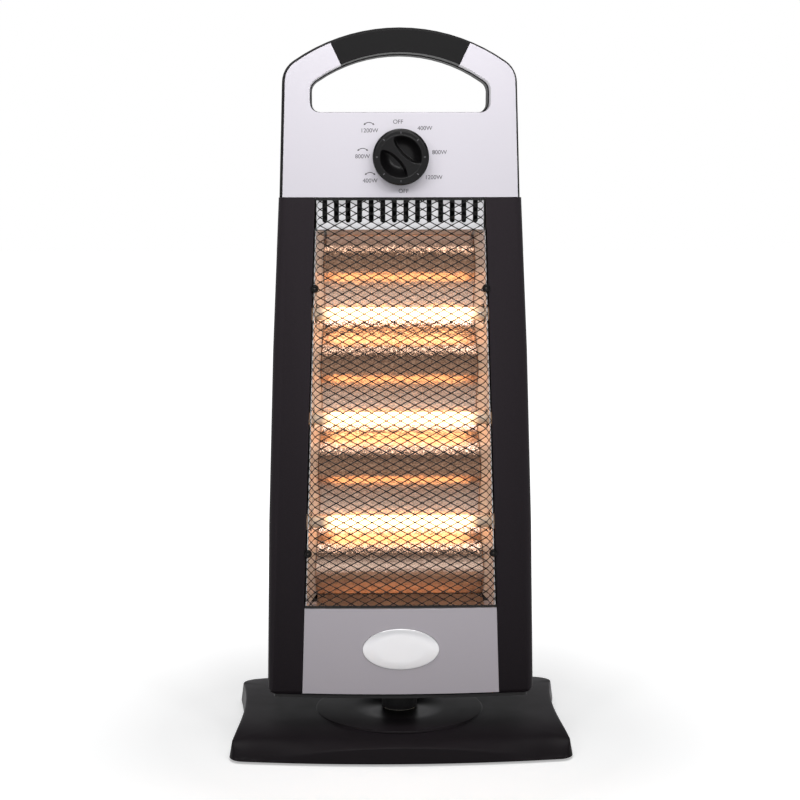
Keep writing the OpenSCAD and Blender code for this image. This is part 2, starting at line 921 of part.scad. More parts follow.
// Right half of the cap's outline, drawn in by off, with its foot raised by foot
function cap_right(off, foot) =
    let (
        cx = cap_top_w / 2 - shoulder_r,
        cz = arch_z + sqrt(pow(arch_r - shoulder_r, 2) - cx * cx),
        a = atan2(cz - arch_z, cx)
    )
    concat(
        [[shoulder_w / 2 - off, cap_z + foot]],
        arc(cx, cz, shoulder_r - off, 0, a, 6),
        arc(0, arch_z, arch_r - off, a + 4, 90, 8)
    );

// Right half of the handle opening's outline, widened by off
function opening_right(off) =
    let (
        lx = opening_w / 2 - opening_low_r,
        ux = opening_w / 2 - opening_top_r,
        uz = opening_arch_z + sqrt(pow(opening_arch_r - opening_top_r, 2) - ux * ux),
        a = atan2(uz - opening_arch_z, ux)
    )
    concat(
        arc(lx, open_z + opening_low_r, opening_low_r + off, -90, 0, 5),
        arc(ux, uz, opening_top_r + off, 0, a, 4),
        arc(0, opening_arch_z, opening_arch_r + off, a + 5, 90, 7)
    );

module cap_outline(off, foot) { polygon(mirrored(cap_right(off, foot))); }
module opening_outline(off) { polygon(mirrored(opening_right(off))); }

// The wedge of the handle that the grip covers, widened by gap
module grip_wedge(gap) {
    outer = arch_z + sqrt(pow(arch_r - cap_inset, 2) - pow(grip_outer_w / 2, 2));
    inner = opening_arch_z + sqrt(pow(opening_arch_r, 2) - pow(grip_inner_w / 2, 2));
    slope = (grip_outer_w - grip_inner_w) / 2 / (outer - inner);
    low = -handle_t;
    high = handle_t * 2;
    along_y(-front_reach - past, seam_y + past)
        polygon([
            [-grip_inner_w / 2 - slope * low - gap, inner + low],
            [grip_inner_w / 2 + slope * low + gap, inner + low],
            [grip_inner_w / 2 + slope * high + gap, inner + high],
            [-grip_inner_w / 2 - slope * high - gap, inner + high]
        ]);
}

// Hollow front half of the cap and handle
module cap_half(places) {
    front = -front_reach - past;
    difference() {
        intersection() {
            along_y(front, seam_y) cap_outline(cap_inset, seam_gap);
            bow_drum(0);
        }
        difference() {
            intersection() {
                along_y(front, seam_y + past) cap_outline(cap_inset + wall, wall);
                bow_drum(wall);
            }
            along_y(front, seam_y + past) opening_outline(wall);
            front_bosses(places);
        }
        along_y(front, seam_y + past) opening_outline(0);
        front_boss_holes(places);
    }
}

module cap_front() {
    color([0.8, 0.79, 0.81])
        difference() {
            cap_half(cap_screws);
            grip_wedge(0);
            y_rod(0, dial_level, switch_neck_r + fit_gap, -front_reach - past, seam_y);
        }
}

module handle_grip() {
    color([0.09, 0.09, 0.09])
        intersection() {
            cap_half(grip_screws);
            grip_wedge(-0.1);
        }
}

module cap_rear() {
    screws = concat(cap_screws, grip_screws);
    color([0.12, 0.12, 0.12])
        difference() {
            intersection() {
                along_y(seam_y, rear_reach) cap_outline(0, seam_gap / 2);
                cap_form(0);
            }
            difference() {
                intersection() {
                    along_y(seam_y - past, rear_reach) cap_outline(wall, wall);
                    cap_form(wall);
                }
                along_y(seam_y - past, rear_reach) opening_outline(wall);
                rear_bosses(screws);
            }
            along_y(seam_y - past, rear_reach) opening_outline(-opening_lip);
            rear_boss_holes(screws);
            wire_way();
        }
}

// ---- Dial ----

switch_w = 32;
switch_front = wall + 0.5 - front_reach;
switch_back = seam_y - 2;
switch_neck_r = 4.5;
knob_back = -front_reach - knob_gap;
scoop_cut_r = 14;

module rotary_switch() {
    color([0.85, 0.83, 0.78])
        difference() {
            union() {
                translate([-switch_w / 2, switch_front, dial_level - switch_w / 2])
                    cube([switch_w, switch_back - switch_front, switch_w]);
                y_rod(0, dial_level, switch_neck_r, -front_reach, switch_front + past);
            }
            y_rod(0, dial_level, shaft_r + bush_gap, -front_reach - past, switch_back - 3);
        }
}

module switch_spindle() {
    color("silver")
        y_rod(0, dial_level, shaft_r, knob_back - knob_h + 5, switch_back - 3.5);
}

// One scoop beside the ridge: the round of the dial less the ridge and its flared ends
module scoop(side) {
    front = knob_back - knob_h;
    intersection() {
        y_rod(0, 0, scoop_r, front - past, front + scoop_depth);
        translate([side * (ridge_w / 2 + scoop_cut_r), front + scoop_depth - scoop_cut_r, 0])
            sphere(r = scoop_cut_r);
    }
}

module knob() {
    color([0.12, 0.11, 0.12])
        translate([0, 0, dial_level])
            rotate([0, pointer_angle, 0])
                difference() {
                    union() {
                        y_rod(0, 0, knob_r, knob_back - flange_t, knob_back);
                        y_rod(0, 0, knob_r - 1.5, knob_back - knob_h, knob_back);
                    }
                    scoop(-1);
                    scoop(1);
                    y_rod(0, 0, shaft_r + fit_gap / 5, knob_back - knob_h + 5, knob_back + past);
                }
}

// ---- Lower panel and badge ----

badge_t = 2;
badge_sink = 1;
badge_steps = 48;

module oval(w, h) {
    polygon([for (i = [0:badge_steps - 1]) let (a = 360 * i / badge_steps) [w / 2 * cos(a), h / 2 * sin(a)]]);
}

module lower_panel() {
    color([0.66, 0.65, 0.67])
        difference() {
            intersection() {
                along_y(-front_reach - past, seam_y) between_columns(panel_z, chamber_z, seam_gap);
                bow_drum(0);
            }
            difference() {
                bow_drum(wall);
                along_y(-front_reach - past, seam_y + past)
                    between_columns(chamber_z - wall, chamber_z + past, -past);
            }
            along_y(-front_reach - past, badge_sink - front_reach)
                translate([0, badge_level])
                    oval(badge_w + fit_gap * 2, badge_h + fit_gap * 2);
        }
}

module badge() {
    y = badge_sink - front_reach;
    color("white")
        along_y(y - badge_t, y)
            translate([0, badge_level])
                oval(badge_w, badge_h);
}

// ---- Guard ----

guard_top = cap_z - seam_gap;
guard_foot = chamber_z + seam_gap;
guard_rim = 1.6;

module strands(direction) {
    rise = direction * mesh_h / mesh_w;
    reach = mouth_foot_w / 2;
    steps = ceil((guard_top - guard_foot + 2 * reach * abs(rise)) / mesh_h);
    start = guard_foot - reach * abs(rise);
    half = strand_w / 2 / cos(atan(rise));
    for (i = [0:steps])
        translate([0, start + i * mesh_h])
            polygon([
                [-reach, -reach * rise - half],
                [reach, reach * rise - half],
                [reach, reach * rise + half],
                [-reach, -reach * rise + half]
            ]);
}

module grille() {
    color([0.1, 0.1, 0.1])
        along_y(guard_y, guard_y + guard_t)
            union() {
                intersection() {
                    between_columns(guard_foot, guard_top, seam_gap);
                    union() {
                        strands(-1);
                        strands(1);
                    }
                }
                difference() {
                    between_columns(guard_foot, guard_top, seam_gap);
                    between_columns(guard_foot + guard_rim, guard_top - guard_rim, seam_gap + guard_rim);
                }
            }
}

clip_levels = [body_z + 119.6, body_z + 335];

module grille_clips() {
    color([0.08, 0.08, 0.08])
        for (z = clip_levels, side = [-1, 1])
            translate([side * (mouth(z) - clip_r * 0.6), 0, 0])
                y_rod(0, z, clip_r, guard_y - 2.2, guard_y);
}

// ---- Reflector ----

slope_foot_z = cap_z - vent_plate_h - vent_slope_h;
slope_run = ridge_y + trough_depth - vent_y;
slope_share = trough_depth * 0.6 / slope_run;
reflector_top_z = slope_foot_z + sheet_t + (vent_slope_h - sheet_t) * slope_share - seam_gap;
trough_steps = 24;

// Front face of the reflector at height z
function trough(z) =
    ridge_y + trough_depth / 2 * (1 + cos((z - lamp_z) * 360 / lamp_pitch));

trough_levels = [
    for (i = [0:trough_steps])
        chamber_z + (reflector_top_z - chamber_z) * i / trough_steps
];

cheek_edge = 1.2;
cheek_y0 = guard_y + guard_t + 1;
cheek_y1 = ridge_y + trough_depth + sheet_t;
cheek_top = cap_z - vent_plate_h - seam_gap;

// Plan of the room between the cheeks at height z
module chamber_slice(z) {
    a = mouth(z) - cheek_edge - sheet_t * 1.4;
    b = mouth(z) - cheek_lean - sheet_t * 1.4;
    translate([0, 0, z])
        linear_extrude(slice_t)
            polygon([[-a, cheek_y0], [a, cheek_y0], [b, cheek_y1], [-b, cheek_y1]]);
}

module reflector() {
    front = [for (z = trough_levels) [trough(z), z]];
    back = [for (i = [trough_steps:-1:0]) [trough(trough_levels[i]) + sheet_t, trough_levels[i]]];
    far = mouth_foot_w;
    color([0.85, 0.83, 0.8])
        intersection() {
            translate([-far / 2, 0, 0])
                rotate([90, 0, 90])
                    linear_extrude(far)
                        polygon(concat(front, back));
            hull() {
                chamber_slice(chamber_z);
                chamber_slice(reflector_top_z - slice_t);
            }
        }
}

// A thin upright sheet's plan at height z
module cheek_slice(side, z) {
    x0 = side * (mouth(z) - cheek_edge);
    x1 = side * (mouth(z) - cheek_lean);
    y0 = cheek_y0;
    y1 = cheek_y1;
    translate([0, 0, z])
        linear_extrude(slice_t)
            polygon([[x0, y0], [x1, y1], [x1 - side * sheet_t, y1], [x0 - side * sheet_t, y0]]);
}

module cheek(side) {
    color([0.9, 0.9, 0.9])
        difference() {
            hull() {
                cheek_slice(side, chamber_z + seam_gap);
                cheek_slice(side, cheek_top);
            }
            for (z = lamp_levels)
                x_rod(-mouth_foot_w / 2, mouth_foot_w / 2, lamp_y, z, lamp_port_r - 0.5);
        }
}

module cheek_left() { cheek(-1); }
module cheek_right() { cheek(1); }

module reflector_top() {
    half = mouth(cap_z) - cheek_lean - 0.5;
    plate_half = mouth(cap_z) - cheek_edge;
    plate_z = cap_z - vent_plate_h;
    top = cap_z - seam_gap;
    first = -vent_pitch * (vent_slots - 1) / 2;
    color([0.88, 0.88, 0.88])
        difference() {
            union() {
                translate([-plate_half, vent_y, plate_z])
                    cube([plate_half * 2, sheet_t, top - plate_z]);
                translate([-half, 0, 0])
                    rotate([90, 0, 90])
                        linear_extrude(half * 2)
                            polygon([
                                [vent_y, plate_z],
                                [vent_y, plate_z + sheet_t],
                                [vent_y + sheet_t, plate_z + sheet_t],
                                [ridge_y + trough_depth, slope_foot_z + sheet_t * 2],
                                [ridge_y + trough_depth, slope_foot_z + sheet_t]
                            ]);
            }
            for (i = [0:vent_slots - 1]) {
                y_rod(first + i * vent_pitch, plate_z + vent_sill, vent_slot_w / 2, vent_y - past, vent_y + 2);
                translate([first + i * vent_pitch - vent_slot_w / 2, vent_y - past, plate_z + vent_sill])
                    cube([vent_slot_w, 3, vent_plate_h]);
            }
        }
}

module reflector_floor() {
    color([0.85, 0.85, 0.85])
        along_y(guard_y + guard_t + 1, trough(chamber_z + seam_gap + sheet_t) - 0.3)
            between_columns(chamber_z + seam_gap, chamber_z + seam_gap + sheet_t, cheek_lean + sheet_t * 2);
}

module heat_shield() {
    color([0.6, 0.6, 0.62])
        translate([-shoulder_w * 0.39, shield_y, chamber_z])
            cube([shoulder_w * 0.78, sheet_t, cap_z - vent_plate_h - chamber_z]);
}

// ---- Lamps ----

filament_r = 1.2;
end_x = lamp_len / 2 - 4;

module lamp(z) {
    color([1, 0.75, 0.4])
        difference() {
            x_rod(-lamp_len / 2, lamp_len / 2, lamp_y, z, lamp_r);
            x_rod(-lamp_len / 2 - past, lamp_len / 2 + past, lamp_y, z, lamp_r - lamp_wall);
        }
}

module filament(z) {
    color([1, 0.6, 0.2])
        x_rod(-lamp_len / 2 - 2, lamp_len / 2 + 2, lamp_y, z, filament_r);
}

module lamp_ends(z) {
    color("white")
        for (side = [-1, 1])
            mirror([side < 0 ? 1 : 0, 0, 0])
                difference() {
                    x_rod(end_x, end_x + end_len, lamp_y, z, end_r);
                    x_rod(end_x - past, lamp_len / 2 + fit_gap, lamp_y, z, lamp_r + fit_gap / 2);
                    x_rod(end_x, lamp_len / 2 + 2 + fit_gap, lamp_y, z, filament_r + fit_gap / 2);
                }
}

module lamp_upper() { lamp(lamp_levels[0]); }
module lamp_middle() { lamp(lamp_levels[1]); }
module lamp_lower() { lamp(lamp_levels[2]); }
module filament_upper() { filament(lamp_levels[0]); }
module filament_middle() { filament(lamp_levels[1]); }
module filament_lower() { filament(lamp_levels[2]); }
module lamp_caps_upper() { lamp_ends(lamp_levels[0]); }
module lamp_caps_middle() { lamp_ends(lamp_levels[1]); }
module lamp_caps_lower() { lamp_ends(lamp_levels[2]); }

bracket_t = 1;

module bracket(side) {
    x = end_x + end_len / 2;
    y0 = bow(x + bracket_t) + wall + 0.3 - front_reach;
    z0 = lamp_levels[2] - 20;
    color("silver")
        mirror([side < 0 ? 1 : 0, 0, 0])
            difference() {
                translate([x, y0, z0])
                    cube([bracket_t, seam_y - y0, lamp_levels[0] + 20 - z0]);
                for (z = lamp_levels)
                    x_rod(x - past, x + bracket_t + past, lamp_y, z, end_r + fit_gap / 2);
            }
}

module bracket_left() { bracket(-1); }
module bracket_right() { bracket(1); }

// ---- Wiring parts ----

cutout_r = 8;
cutout_h = 6;

module thermal_cutout() {
    color([0.2, 0.2, 0.22])
        y_rod(20, cap_z - 60, cutout_r, shield_y + sheet_t, shield_y + sheet_t + cutout_h);
}

terminal_size = [44, 18, 16];
terminal_place = [-78, -8, body_z];
wire_foot_z = body_z + terminal_size.z + 1;
// How far the wires reach into the cap
wire_end = 8;

module terminal_block() {
    color("ivory")
        translate(terminal_place)
            cube(terminal_size);
}

module wire_bundle() {
    color([0.15, 0.15, 0.15])
        translate([wire_x, wire_y, wire_foot_z])
            cylinder(h = cap_z + wire_end - wire_foot_z, r = wire_r);
}

// The middle of the base stands over the origin
translate([0, -base_shift, 0]) {
    base_shell();
    base_plate();
    base_feet();
    base_screws();
    tip_switch();
    tip_plunger();
    tip_spring();
    pivot_spindle();
    thrust_washer();
    spindle_nut();
    drive_arm();
    arm_clip();
    body_floor();
    swivel_bush();
    column_left();
    column_right();
    rear_shell();
    cord_gland();
    cap_front();
    cap_rear();
    handle_grip();
    lower_panel();
    badge();
    grille();
    grille_clips();
    reflector();
    cheek_left();
    cheek_right();
    reflector_top();
    reflector_floor();
    heat_shield();
    lamp_upper();
    lamp_middle();
    lamp_lower();
    filament_upper();
    filament_middle();
    filament_lower();
    lamp_caps_upper();
    lamp_caps_middle();
    lamp_caps_lower();
    bracket_left();
    bracket_right();
    rotary_switch();
    switch_spindle();
    knob();
    osc_motor();
    crank();
    thermal_cutout();
    terminal_block();
    wire_bundle();
    case_screws();
}
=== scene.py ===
"""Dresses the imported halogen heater: finishes for its solids, and finer pieces for its mesh
guard, hammered reflector, glowing lamps, base, knob and dial print."""

import math

import bpy
import numpy as np
from bpy.props import FloatProperty, FloatVectorProperty, PointerProperty
from mathutils import Matrix, Vector


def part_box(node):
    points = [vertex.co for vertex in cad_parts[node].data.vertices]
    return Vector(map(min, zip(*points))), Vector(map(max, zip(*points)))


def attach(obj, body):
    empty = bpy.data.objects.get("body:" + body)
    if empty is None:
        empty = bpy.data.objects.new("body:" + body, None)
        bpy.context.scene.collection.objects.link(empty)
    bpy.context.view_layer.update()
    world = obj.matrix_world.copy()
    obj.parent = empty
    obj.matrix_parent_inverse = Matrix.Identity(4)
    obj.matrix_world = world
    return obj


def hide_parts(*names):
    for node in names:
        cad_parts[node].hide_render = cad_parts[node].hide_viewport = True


bl_info = {
    "name": "Halogen heater dressing",
    "version": (1, 0, 0),
    "blender": (4, 5, 0),
    "location": "3D View > Sidebar > Heater",
    "description": "Finishes and finer pieces of an oscillating three-lamp halogen heater",
    "category": "Object",
}

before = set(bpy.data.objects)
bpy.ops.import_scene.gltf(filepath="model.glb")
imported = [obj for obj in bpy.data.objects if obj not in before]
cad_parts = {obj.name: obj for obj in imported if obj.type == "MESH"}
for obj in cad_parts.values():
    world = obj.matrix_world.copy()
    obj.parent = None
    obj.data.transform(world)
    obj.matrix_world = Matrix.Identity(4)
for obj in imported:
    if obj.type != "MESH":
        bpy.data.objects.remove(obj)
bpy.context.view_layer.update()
MM = 0.001
WHITE = (1.0, 1.0, 1.0, 1.0)


def box_mm(node):
    """Lowest and highest corner of a solid, in millimetres."""
    low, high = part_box(node)
    return [v / MM for v in low], [v / MM for v in high]


def linear(code):
    """sRGB hex code to linear RGBA."""
    channels = [int(code[i : i + 2], 16) / 255 for i in (0, 2, 4)]
    return [c / 12.92 if c <= 0.04045 else ((c + 0.055) / 1.055) ** 2.4 for c in channels] + [1.0]


def colour_setting(name, code, description):
    return FloatVectorProperty(
        name=name, description=description, subtype="COLOR", size=4, min=0, max=1, default=linear(code)
    )


def length_setting(name, mm, description):
    return FloatProperty(name=name, description=description, unit="LENGTH", default=mm * MM, min=0.0)


def strength_setting(name, amount, description, unit="NONE"):
    return FloatProperty(name=name, description=description, unit=unit, default=amount, min=0)


class HeaterSizes(bpy.types.PropertyGroup):
    diamond_width: length_setting("Diamond width", 11.6, "Width of one diamond of the guard")
    diamond_height: length_setting("Diamond height", 6.4, "Height of one diamond of the guard")
    strand_width: length_setting("Strand width", 0.76, "Width of the guard's strands")
    strand_thickness: length_setting("Strand thickness", 0.6, "Thickness of the guard's sheet")
    drawn_in: length_setting("Drawn in", 12.0, "Width of sheet drawn together at each side of the guard")
    dimple_pitch: length_setting("Dimple pitch", 3.6, "Mean distance of the hammered dimples")
    dimple_depth: length_setting("Dimple depth", 0.12, "Depth of the hammered dimples")
    edge_round: length_setting("Edge rounding", 1.4, "Rounding of the silver cap's edges")
    print_height: length_setting("Print height", 4.6, "Height of the figures beside the knob")
    coil_pitch: length_setting("Coil pitch", 1.6, "Pitch of the wound filaments")


class HeaterColours(bpy.types.PropertyGroup):
    cap: colour_setting("Cap", "DFDBE3", "Silver lacquer of the cap")
    panel: colour_setting("Lower panel", "BBB5BC", "Silver lacquer of the lower panel")
    column: colour_setting("Columns", "322D31", "Satin black of the columns")
    base: colour_setting("Base", "231F22", "Gloss black of the base")
    rear: colour_setting("Rear", "161516", "Textured black of the rear mouldings")
    grip: colour_setting("Grip", "0A090A", "Soft black of the handle grip")
    knob: colour_setting("Knob", "0E0D0E", "Dark grey of the knob")
    ink: colour_setting("Dial print", "4A474C", "Grey ink of the dial print")
    plate: colour_setting("Oval plate", "F2F1F3", "White of the blank oval plate")
    glow: colour_setting("Lamp glow", "FFC48C", "Colour of the light of the lamps")


class HeaterLight(bpy.types.PropertyGroup):
    lamp_strength: strength_setting("Lamp strength", 5.4, "Brightness of the lamp tubes")
    front_power: strength_setting("Front lights", 12.5, "Power of each soft lamp in front", "POWER")
    top_power: strength_setting("Top light", 8.0, "Power of the soft light above", "POWER")
    room_strength: strength_setting("Room", 0.2, "Brightness of the room that gloss shows")
    sky_strength: strength_setting("Surroundings", 0.13, "Brightness of the pale surroundings")


def sizes():
    return bpy.context.scene.heater_sizes


def colour_of(name):
    return list(getattr(bpy.context.scene.heater_colours, name))


def light():
    return bpy.context.scene.heater_light


# ---- Meshes ----

# Corners closer than this are joined, in millimetres
WELD = 0.002
# Edges below the first angle look smooth, faces within the second become one, and edges above
# the third are rounded
SMOOTH_ANGLE, FLAT_ANGLE, ROUNDED_ANGLE = math.radians(35), math.radians(0.4), math.radians(36)


def new_piece(name, points, faces, material, body, nodes, smooth=True):
    """A mesh piece from points in millimetres; it rides on body and stands for nodes."""
    mesh = bpy.data.meshes.new(name)
    mesh.from_pydata([(p[0] * MM, p[1] * MM, p[2] * MM) for p in points], [], faces)
    mesh.validate()
    mesh.polygons.foreach_set("use_smooth", [smooth] * len(mesh.polygons))
    mesh.materials.append(material)
    piece = bpy.data.objects.new(name, mesh)
    bpy.context.collection.objects.link(piece)
    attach(piece, body)
    if nodes:
        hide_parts(*nodes)
    return piece


def loft(rings, closed=True, start_cap=False, end_cap=False):
    """Points and quads that join rings of equal length."""
    count = len(rings[0])
    points = [p for ring in rings for p in ring]
    faces = []
    span = count if closed else count - 1
    for r in range(len(rings) - 1):
        for i in range(span):
            a, b = r * count + i, r * count + (i + 1) % count
            faces.append((a, b, b + count, a + count))
    if start_cap:
        faces.append(tuple(range(count - 1, -1, -1)))
    if end_cap:
        last = (len(rings) - 1) * count
        faces.append(tuple(range(last, last + count)))
    return points, faces


def lathe(profile, steps, place):
    """Rings of a profile of (radius, height) pairs turned round an axis; place maps (x, y, h)."""
    return [
        [
            place(r * math.cos(2 * math.pi * i / steps), r * math.sin(2 * math.pi * i / steps), h)
            for i in range(steps)
        ]
        for r, h in profile
    ]


def softened():
    """Geometry nodes that join split corners and shade everything smooth but its sharp edges."""
    name = "Joined_and_smoothed"
    if name in bpy.data.node_groups:
        return bpy.data.node_groups[name]
    tree = bpy.data.node_groups.new(name, "GeometryNodeTree")
    for way in ("INPUT", "OUTPUT"):
        tree.interface.new_socket("Geometry", in_out=way, socket_type="NodeSocketGeometry")
    start = add(tree, "NodeGroupInput")
    joined = add(
        tree,
        "GeometryNodeMergeByDistance",
        values={"Distance": WELD * MM},
        links={"Geometry": start.outputs[0]},
    )
    angle = add(tree, "GeometryNodeInputMeshEdgeAngle")
    soft = add(
        tree,
        "FunctionNodeCompare",
        {"data_type": "FLOAT", "operation": "LESS_THAN"},
        {"B": SMOOTH_ANGLE},
        {"A": angle.outputs["Unsigned Angle"]},
    )
    faces = add(
        tree, "GeometryNodeSetShadeSmooth", {"domain": "FACE"}, links={"Geometry": joined.outputs[0]}
    )
    edges = add(
        tree,
        "GeometryNodeSetShadeSmooth",
        {"domain": "EDGE"},
        links={"Geometry": faces.outputs[0], "Shade Smooth": soft.outputs["Result"]},
    )
    add(tree, "NodeGroupOutput", links={"Geometry": edges.outputs[0]})
    return tree


def round_edges(piece, width, segments):
    """Smooth shading and, where width is given, small rounded edges, by modifiers only."""
    smooth = piece.modifiers.new("Smoothed", "NODES")
    smooth.node_group = softened()
    if width:
        flat = piece.modifiers.new("Flat_faces", "DECIMATE")
        flat.decimate_type = "DISSOLVE"
        flat.angle_limit = FLAT_ANGLE
        bevel = piece.modifiers.new("Rounded_edges", "BEVEL")
        bevel.width = width * MM
        bevel.segments = segments
        bevel.limit_method = "ANGLE"
        bevel.angle_limit = ROUNDED_ANGLE
        bevel.harden_normals = True
        bevel.miter_outer = "MITER_ARC"


def dress(nodes, material, width=0.0, segments=2):
    """Gives solids of the frame a finish and small rounded edges."""
    for name in nodes:
        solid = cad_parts[name]
        solid.data.materials.clear()
        solid.data.materials.append(material)
        round_edges(solid, width, segments)


# ---- Materials ----


def add(tree, kind, settings=None, values=None, links=None):
    """Adds a node with its settings, socket values and links."""
    node = tree.nodes.new(kind)
    for key, value in (settings or {}).items():
        setattr(node, key, value)
    for key, value in (values or {}).items():
        node.inputs[key].default_value = value
    for key, socket in (links or {}).items():
        tree.links.new(socket, node.inputs[key])
    return node


def finish(name, **values):
    """A new material with one Principled shader; returns material, tree and shader."""
    material = bpy.data.materials.new(name)
    material.use_nodes = True
    tree = material.node_tree
    shader = tree.nodes["Principled BSDF"]
    for key, value in values.items():
        shader.inputs[key.replace("_", " ")].default_value = value
    return material, tree, shader


def grain(tree, shader, pitch_mm, depth_mm, strength, detail=2.0, stretch=None):
    """Bump of a fine grain with a real pitch; returns the noise's output."""
    place = add(tree, "ShaderNodeTexCoord")
    spot = place.outputs["Object"]
    if stretch:
        spot = add(
            tree, "ShaderNodeMapping", values={"Scale": stretch}, links={"Vector": spot}
        ).outputs["Vector"]
    noise = add(
        tree,
        "ShaderNodeTexNoise",
        values={"Scale": 1 / (pitch_mm * MM), "Detail": detail},
        links={"Vector": spot},
    )
    bump = add(
        tree,
        "ShaderNodeBump",
        values={"Strength": strength, "Distance": depth_mm * MM},
        links={"Height": noise.outputs["Fac"]},
    )
    tree.links.new(bump.outputs["Normal"], shader.inputs["Normal"])
    return noise.outputs["Fac"]


def vary(tree, shader, factor, low, high):
    """Lets a roughness wander with a pattern."""
    ramp = add(
        tree, "ShaderNodeMapRange", values={"To Min": low, "To Max": high}, links={"Value": factor}
    )
    tree.links.new(ramp.outputs["Result"], shader.inputs["Roughness"])


def tint(tree, shader, factor, dark, pale):
    """Lets the colour wander between two near shades with a pattern."""
    mix = add(tree, "ShaderNodeMix", {"data_type": "RGBA"}, links={"Factor": factor})
    mix.inputs["A"].default_value = dark
    mix.inputs["B"].default_value = pale
    tree.links.new(mix.outputs["Result"], shader.inputs["Base Color"])


def shade(colour, factor):
    """A colour made darker or paler by a factor."""
    return [c * factor for c in colour[:3]] + [1.0]


def lacquer(name, colour, metal=0.25):
    # Silver lacquer sprayed on moulded ABS: a pale, even sheen with very fine metal flakes.
    # The flakes are 0.1 mm in life, and drawn 0.7 mm wide so that they show at all.
    material, tree, shader = finish(
        name, Metallic=metal, Roughness=0.38, IOR=1.5, Coat_Weight=0.25, Coat_Roughness=0.12
    )
    flakes = grain(tree, shader, pitch_mm=0.7, depth_mm=0.01, strength=0.15)
    tint(tree, shader, flakes, shade(colour, 0.975), shade(colour, 1.025))
    vary(tree, shader, flakes, 0.34, 0.42)
    return material


def satin_abs(name, colour, rough, pitch_mm=0.9, bump=0.12, specular=0.35):
    # Moulded ABS out of a spark-eroded mould: satin black, highlights broken up by fine grain.
    # The grain is 0.2 mm in life, and drawn coarser so that it shows.
    material, tree, shader = finish(name, Roughness=rough, IOR=1.5, Specular_IOR_Level=specular)
    specks = grain(tree, shader, pitch_mm, depth_mm=0.02, strength=bump)
    tint(tree, shader, specks, shade(colour, 0.85), shade(colour, 1.15))
    vary(tree, shader, specks, rough - 0.05, rough + 0.06)
    return material


def gloss_abs(name, colour):
    # Moulded ABS out of a half-polished mould: deep black with soft, slightly wavy reflections.
    material, tree, shader = finish(name, Roughness=0.42, IOR=1.5, Specular_IOR_Level=0.08)
    waves = grain(tree, shader, pitch_mm=14.0, depth_mm=0.05, strength=0.06, detail=1.0)
    tint(tree, shader, waves, shade(colour, 0.9), shade(colour, 1.1))
    vary(tree, shader, waves, 0.38, 0.46)
    return material


def moulded_rubber(name, colour, rough=0.62):
    # Thermoplastic rubber, moulded: dull black with a fine grain.
    material, tree, shader = finish(name, Roughness=rough, IOR=1.52, Specular_IOR_Level=0.15)
    specks = grain(tree, shader, pitch_mm=0.8, depth_mm=0.03, strength=0.2)
    tint(tree, shader, specks, shade(colour, 0.85), shade(colour, 1.2))
    return material


def stove_enamel():
    # Black stove enamel on expanded steel: thin, slightly shiny, drawn a little rough.
    material, tree, shader = finish("Stove_enamel_black", Roughness=0.4, IOR=1.55, Specular_IOR_Level=0.25)
    specks = grain(tree, shader, pitch_mm=0.6, depth_mm=0.02, strength=0.15)
    tint(tree, shader, specks, linear("0B0A0A"), linear("161413"))
    return material


def hammered_aluminium():
    # Bright aluminium sheet, hammer-embossed: mirror-like facets that catch the lamps as sparks.
    # The large dimples are in the mesh, and finer ones of 1.5 mm come from this bump.
    material, tree, shader = finish("Aluminium_hammered", Metallic=1.0, Roughness=0.2)
    facet, facet_depth = 1.5, 0.2
    place = add(tree, "ShaderNodeTexCoord")
    cells = add(
        tree,
        "ShaderNodeTexVoronoi",
        values={"Scale": 1 / (facet * MM)},
        links={"Vector": place.outputs["Object"]},
    )
    bump = add(
        tree,
        "ShaderNodeBump",
        values={"Strength": 0.3, "Distance": facet_depth * MM},
        links={"Height": cells.outputs["Distance"]},
    )
    tree.links.new(bump.outputs["Normal"], shader.inputs["Normal"])
    # The ridges between the lamps are painted brown, and the hollows behind the lamps and the
    # sheet's foot pale: these are painted dark and pale reflections, in a warm tint of painted lamplight.
    apart = add(tree, "ShaderNodeSeparateXYZ", links={"Vector": place.outputs["Object"]})
    turn = 2 * math.pi / (LAMP_PITCH * MM)
    phase = add(
        tree,
        "ShaderNodeMath",
        {"operation": "MULTIPLY_ADD"},
        {1: turn, 2: -turn * LAMP_MID_Z * MM},
        {0: apart.outputs["Z"]},
    )
    wave = add(tree, "ShaderNodeMath", {"operation": "COSINE"}, links={0: phase.outputs[0]})
    hollow = add(
        tree,
        "ShaderNodeMapRange",
        values={"From Min": -0.9, "From Max": 0.3},
        links={"Value": wave.outputs[0]},
    )
    foot = add(
        tree,
        "ShaderNodeMapRange",
        values={"From Min": PAINTED_PALE_BELOW_Z * MM, "From Max": PAINTED_BANDS_ABOVE_Z * MM, "To Min": 1.0, "To Max": 0.0},
        links={"Value": apart.outputs["Z"]},
    )
    painted_pale_share = add(
        tree, "ShaderNodeMath", {"operation": "MAXIMUM"}, links={0: hollow.outputs[0], 1: foot.outputs[0]}
    )
    # Painted dark reflection on the ridges and painted pale reflection in the hollows, both warmed by painted
    # lamplight
    painted_dark_reflection, painted_pale_reflection = ("6E4F3E", "A98871"), ("C2A18D", "E8CDBB")
    shades = []
    for dark, pale in (painted_dark_reflection, painted_pale_reflection):
        mix = add(tree, "ShaderNodeMix", {"data_type": "RGBA"}, links={"Factor": cells.outputs["Distance"]})
        mix.inputs["A"].default_value = linear(dark)
        mix.inputs["B"].default_value = linear(pale)
        shades.append(mix.outputs["Result"])
    both = add(
        tree,
        "ShaderNodeMix",
        {"data_type": "RGBA"},
        links={"Factor": painted_pale_share.outputs[0], "A": shades[0], "B": shades[1]},
    )
    tree.links.new(both.outputs["Result"], shader.inputs["Base Color"])
    vary(tree, shader, cells.outputs["Distance"], 0.16, 0.26)
    return material


